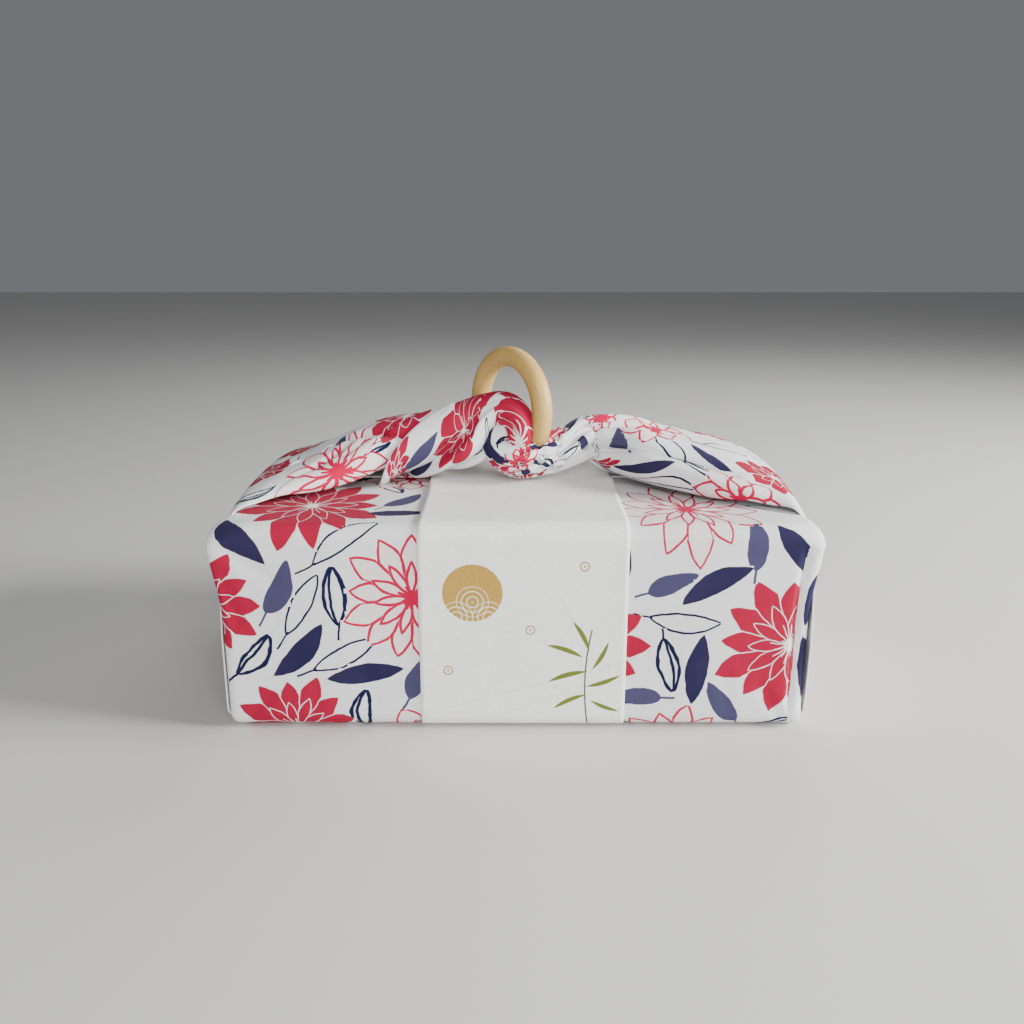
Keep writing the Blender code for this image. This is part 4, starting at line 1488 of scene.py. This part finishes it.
@dataclass
class Band:
    """The paper band round the middle of the bundle."""

    paper: Material
    thickness: float = 0.3
    front: float = -81.85
    top: float = 94.85
    top_round: float = 7.85
    bottom_round: float = 7.0
    lap: float = 1.6
    lap_from: float = -26.0
    lap_full: float = -6.0
    back_full: float = 32.0
    back_from: float = 64.0
    lap_round: float = 20.0
    lift: float = 0.35
    lift_heights: Place = (2.0, 40.0)
    pitch: float = 1.8

    def build(self) -> Object:
        """Builds the piece: its loop in the Y-Z plane carried along X.

        Its edges stand off the cloth by lift * e^6, with e the share of the way from its middle
        to its edge, more on the top than under the box.

        Returns:
            The piece.
        """
        high, top, front = self.top + self.lap, self.top, self.front
        y = (0.0, self.lap_full, self.lap_from, front, front, -front, -front)
        y = (*y, self.back_from, self.back_full, 0.0)
        corners = np.stack([y, (high, high, top, top, 0.0, 0.0, top, top, high, high)], axis=1)
        half = (self.lap_round, self.lap_round, self.top_round, self.bottom_round)
        path = rounded_path(corners, half + half[::-1], self.pitch)[:-1]
        normals = outward(np.roll(path, -1, axis=0) - np.roll(path, 1, axis=0))
        share = np.linspace(-1.0, 1.0, math.ceil(BAND_WIDTH / self.pitch) + 1)
        lift = self.lift * smoothstep(path[:, 1], *self.lift_heights)[:, None] * share[None, :] ** 6
        grid = carried(BAND_MIDDLE + 0.5 * BAND_WIDTH * share, path, normals, lift)
        rows, columns = grid.shape[:2]
        faces = quads(rows + 1, columns, flip=True) % (rows * columns)
        piece = mesh_piece("paper_band", grid, faces)
        self._lay(piece, grid, faces, arc_lengths(corners[:4])[-1] - self._around(path))
        thicken(piece, self.thickness, 0)
        dress(piece, "band_paper", self.paper)
        return piece

    @staticmethod
    def _around(path: Array) -> Array:
        """The distance run round a closed path, with its whole length last."""
        return arc_lengths(np.concatenate([path, path[:1]]))

    @staticmethod
    def _lay(piece: Object, grid: Array, faces: Array, flat: Array) -> None:
        """Lays the print: across by X and along by the paper's length, with no jump at its start.

        Args:
            piece: the band.
            grid: its points.
            faces: the corners of each face.
            flat: each row's place along the paper, and last that of the first row again.
        """
        places = np.stack(np.broadcast_arrays(grid[:, :, 0], flat[:-1, None]), axis=-1)
        corner = places.reshape(-1, 2)[faces]
        jump = corner[:, :, 1] - corner[:, :1, 1]
        corner[:, :, 1] -= (flat[0] - flat[-1]) * np.sign(jump) * (np.abs(jump) > 100.0)
        write_uv(piece, "paper_place", corner * MM)


@dataclass(frozen=True)
class Washi:
    """Off-white washi paper with long fibres, and a gold roundel, a sprig and small rings."""

    pulp: Colour = colour("F3F4F2")
    warm_pulp: Colour = colour("ECEBE6")
    fibre: Colour = colour("FBFAF6")
    gold: Colour = colour("A27C2E")
    pale_gold: Colour = colour("C2A055")
    leaf: Colour = colour("66752A")
    dark_leaf: Colour = colour("46561F")
    fibre_leans: tuple[float, ...] = (0.35, -0.9, 2.2)
    fibre_lengths: tuple[float, ...] = (26.0, 21.0, 30.0)
    fibre_stretch: float = 0.3
    roundel: Place = (-17.0, -27.0)
    roundel_radius: float = 13.0
    waves: tuple[Place, ...] = ((-24.0, -38.0), (-10.0, -38.0), (-17.0, -31.0))
    wave_radius: float = 7.1
    wave_pitch: float = 2.3
    rings: tuple[Place, ...] = ((31.0, -15.0), (8.0, -44.0), (-28.0, -63.0))
    ring_radius: float = 1.9
    stem_x: float = 32.0
    stem_bow: float = 0.004
    stem_down: tuple[float, float, float] = (44.0, 70.0, 90.0)
    sprig: tuple[tuple[float, float, float, float], ...] = (
        (30, -47, 8, 118), (23, -54, 8.5, 160), (38.5, -56, 7.5, 62), (24.5, -66, 9, 196),
        (40, -68, 8, 20), (25.5, -78, 8, 205), (41, -80, 7, 338),
    )

    def make(self) -> Material:
        """Makes the paper's material.

        Returns:
            The material.
        """
        shader = Shader("washi_paper")
        place = shader.uv("paper_place")
        x, y, _ = shader.split(place)
        x, y = x / MM, y / MM
        cloud = shader.noise(place, 60.0, 4.0, 0.6)
        base = mix(cloud, self.pulp, self.warm_pulp)
        strands = []
        for number, (lean, long) in enumerate(zip(self.fibre_leans, self.fibre_lengths)):
            along, across = turned(x, y, lean)
            local = shader.join(along, across * self.fibre_stretch, 7.0 * number)
            strand = shader.noise(local, 1.0 / long * 6.0, 1.0)
            strands.append(step(0.006 - abs(strand - 0.5), 0.004))
        fibres = most(*strands)
        base = mix(fibres * 0.8, base, self.fibre)
        speckle = mix(shader.noise(place, 900.0, 2.0), self.gold, self.pale_gold)
        base = mix(self._roundel(x, y), base, speckle)
        base = self._sprig(x, y, base)
        base = mix(self._rings(x, y), base, self.gold)
        tooth = shader.noise(place, 2600.0, 3.0, 0.6)
        normal = shader.bump(fibres * 0.35 + tooth * 0.4 + cloud * 0.8, 0.3, 0.0003)
        return shader.finish(base, 0.72 + 0.1 * tooth, normal, Specular_IOR_Level=0.2)

    def _roundel(self, x: Value, y: Value) -> Value:
        """Where the gold roundel shows, crossed by the arcs of waves.

        Args:
            x: the place across, in mm.
            y: the place along, in mm.

        Returns:
            1 where it shows and 0 elsewhere.
        """
        disc = step(self.roundel_radius - length(x - self.roundel[0], y - self.roundel[1]), 0.25)
        arcs = []
        for wave_x, wave_y in self.waves:
            away = length(x - wave_x, y - wave_y)
            spaced = abs(modulo(away + 1.0, self.wave_pitch) - 0.5 * self.wave_pitch)
            arcs.append(step(0.22 - spaced, 0.15) * step(self.wave_radius - away, 0.2))
        return disc * (1.0 - most(*arcs) * 0.85)

    def _rings(self, x: Value, y: Value) -> Value:
        """Where the small rings show, with a dot in each.

        Args:
            x: the place across, in mm.
            y: the place along, in mm.

        Returns:
            1 where they show and 0 elsewhere.
        """
        marks = []
        for ring_x, ring_y in self.rings:
            away = length(x - ring_x, y - ring_y)
            marks.append(most(step(0.28 - abs(away - self.ring_radius), 0.15), step(0.5 - away, 0.2)))
        return most(*marks)

    def _sprig(self, x: Value, y: Value, base: Value) -> Value:
        """A bowed stem with slim pointed leaves.

        Args:
            x: the place across, in mm.
            y: the place along, in mm.
            base: the colour under them.

        Returns:
            The colour.
        """
        top, middle, end = self.stem_down
        bow = self.stem_x + (y + middle) * (y + middle) * self.stem_bow
        stem = step(0.35 - abs(x - bow), 0.2) * step(-top - y, 0.3) * step(y + end, 0.3)
        made = mix(stem, base, self.dark_leaf)
        for leaf_x, leaf_y, size, turn in self.sprig:
            u, v = turned(x - leaf_x, y - leaf_y, math.radians(turn))
            u, v = u / size, v / size
            span = most(1.0 - u * u, 0.0)
            made = mix(step(0.13 * span**0.9 - abs(v + 0.1 * span), 0.02), made, self.leaf)
        return made


@dataclass(frozen=True)
class Maple:
    """Pale turned wood with a fine straight grain, rubbed with oil."""

    light: Colour = colour("D8B668")
    dark: Colour = colour("A37E42")
    pore: Colour = colour("946A35")

    def make(self) -> Material:
        """Makes the wood's material: grain lines run up the ring's own board.

        Returns:
            The material.
        """
        shader = Shader("maple")
        place = shader.node(
            "ShaderNodeMapping",
            {"vector_type": "TEXTURE"},
            {"Vector": shader.object_place(), "Rotation": (0.0, 0.0, math.radians(RING_TURN))},
        )
        x, y, z = shader.split(place)
        place = (x + z * 0.12, y, z)
        figure = shader.streaks(place, (260.0, 120.0, 14.0), 3.0)
        rings = shader.streaks(place, (70.0, 40.0, 3.0), 2.0)
        base = mix(rings * 0.6 + figure * 0.5 - 0.1, self.light, self.dark)
        pores = step(shader.streaks(place, (2200.0, 2200.0, 160.0), 1.0) - 0.68, 0.06)
        base = mix(pores * 0.45, base, self.pore)
        normal = shader.bump(figure * 0.3 - pores * 0.5, 0.25, 0.0002)
        return shader.finish(base, 0.46 + 0.15 * figure, normal, Coat_Weight=0.08, Coat_Roughness=0.35)


@dataclass(frozen=True)
class Board:
    """Plain box board."""

    pale: Colour = colour("BCA687")
    dark: Colour = colour("A48E70")

    def make(self) -> Material:
        """Makes the board's material, with the faint clouds of its pulp.

        Returns:
            The material.
        """
        shader = Shader("box_board")
        pulp = shader.noise(shader.object_place(), 220.0, 4.0, 0.6)
        return shader.finish(mix(pulp, self.pale, self.dark), 0.85, shader.bump(pulp, 0.15, 0.0004))


# The camera and the light

LENS, SENSOR = 33.4, 36.0
CAMERA_PLACE = (0.0, -0.464, 0.208)
CAMERA_DOWN = 15.7
FLOOR_SIZE, FLOOR_LEVEL = 8.0, -0.0004
FLOOR_COLOUR = (0.62, 0.61, 0.59, 1.0)
ROOM_LIGHT, ROOM_STRENGTH = (0.93, 0.95, 1.0, 1.0), 0.18
# Columns: name, place, size, power
LAMPS = (
    ("key_light", (1.25, -0.2, 0.55), 0.5, 44.0),
    ("front_light", (0.1, -1.4, 0.5), 1.2, 24.0),
    ("rim_light", (0.3, 0.8, 0.9), 0.6, 4.0),
)


def camera() -> None:
    """Sets the camera in front of the bundle, a little above it."""
    data = bpy.data.cameras.new("camera")
    data.lens = LENS
    data.sensor_width = SENSOR
    made = bpy.data.objects.new("camera", data)
    made.location = CAMERA_PLACE
    made.rotation_euler = Euler((math.radians(90.0 - CAMERA_DOWN), 0.0, 0.0))
    bpy.context.scene.collection.objects.link(made)
    bpy.context.scene.camera = made


def studio() -> None:
    """A pale floor, and soft light from the right, the front and behind."""
    bpy.ops.mesh.primitive_plane_add(size=FLOOR_SIZE, location=(0.0, 0.0, FLOOR_LEVEL))
    floor = bpy.context.object
    floor.name = "floor"
    floor.data.materials.append(Shader("floor_finish").finish(FLOOR_COLOUR, 0.6))
    world = bpy.data.worlds.new("room")
    world.use_nodes = True
    background = world.node_tree.nodes["Background"].inputs
    background["Color"].default_value = ROOM_LIGHT
    background["Strength"].default_value = ROOM_STRENGTH
    bpy.context.scene.world = world
    for name, place, size, power in LAMPS:
        data = bpy.data.lights.new(name, "AREA")
        data.size = size
        data.energy = power
        lamp = bpy.data.objects.new(name, data)
        lamp.location = place
        lamp.rotation_euler = Vector(place).to_track_quat("Z", "Y").to_euler()
        bpy.context.scene.collection.objects.link(lamp)


def cloth_pieces(cloth: Cloth) -> list[Object]:
    """Builds the pieces of the cloth beside its body: both ears, both tucks and both tips.

    Args:
        cloth: the materials of the cloth's face and its reverse.

    Returns:
        The pieces.
    """
    left = (-1.5, -0.34, 0.02, 0.34, 0.66, 1.5), (-1.1, -0.86, -0.52, -0.16, 0.16, 0.48, 0.84, 1.1)
    right = (-1.5, -0.56, -0.2, 0.1, 0.4, 0.7, 1.5), (-1.1, -0.8, -0.38, -0.06, 0.24, 0.56, 0.84, 1.1)
    tip = (-1.0, -0.45, 0.1, 0.5, 1.0), (-1.0, -0.7, -0.2, 0.3, 0.75, 1.0)
    sheets = (
        Ear("left_ear", cloth, LEFT_EAR_CHART, LEFT_EAR_ROWS, *left, LEFT_EAR_CREASES, flip=True),
        Ear("right_ear", cloth, RIGHT_EAR_CHART, RIGHT_EAR_ROWS, *right, RIGHT_EAR_CREASES),
        Tuck("left_tuck", cloth, END_CHART, Side.LEFT, LEFT_END),
        Tuck("right_tuck", cloth, END_CHART, Side.RIGHT, RIGHT_END),
        Strip("left_tip", cloth, TIP_CHART, LEFT_TIP_ROWS, *tip, columns=48),
        Strip("right_tip", cloth, TIP_CHART, RIGHT_TIP_ROWS, *tip, columns=48),
    )
    return [sheet.build() for sheet in sheets]


def main() -> None:
    """Builds the bundle round its frame."""
    logging.basicConfig(level=logging.INFO)
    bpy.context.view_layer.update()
    camera()
    studio()
    cotton = Cotton()
    cloth = (cotton.make("printed_cotton", 1.0), cotton.make("cotton_reverse", 0.35))
    body = WrapBody("wrap_body", cloth, BODY_CHART).build()
    pieces = cloth_pieces(cloth)
    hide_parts("cloth")

    band = Band(Washi().make()).build()
    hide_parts("band")
    ring = Ring(Maple().make()).build()
    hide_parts("ring")
    board = Board().make()
    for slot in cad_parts["box"].material_slots:
        slot.material = board

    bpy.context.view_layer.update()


if __name__ == "__main__":
    main()
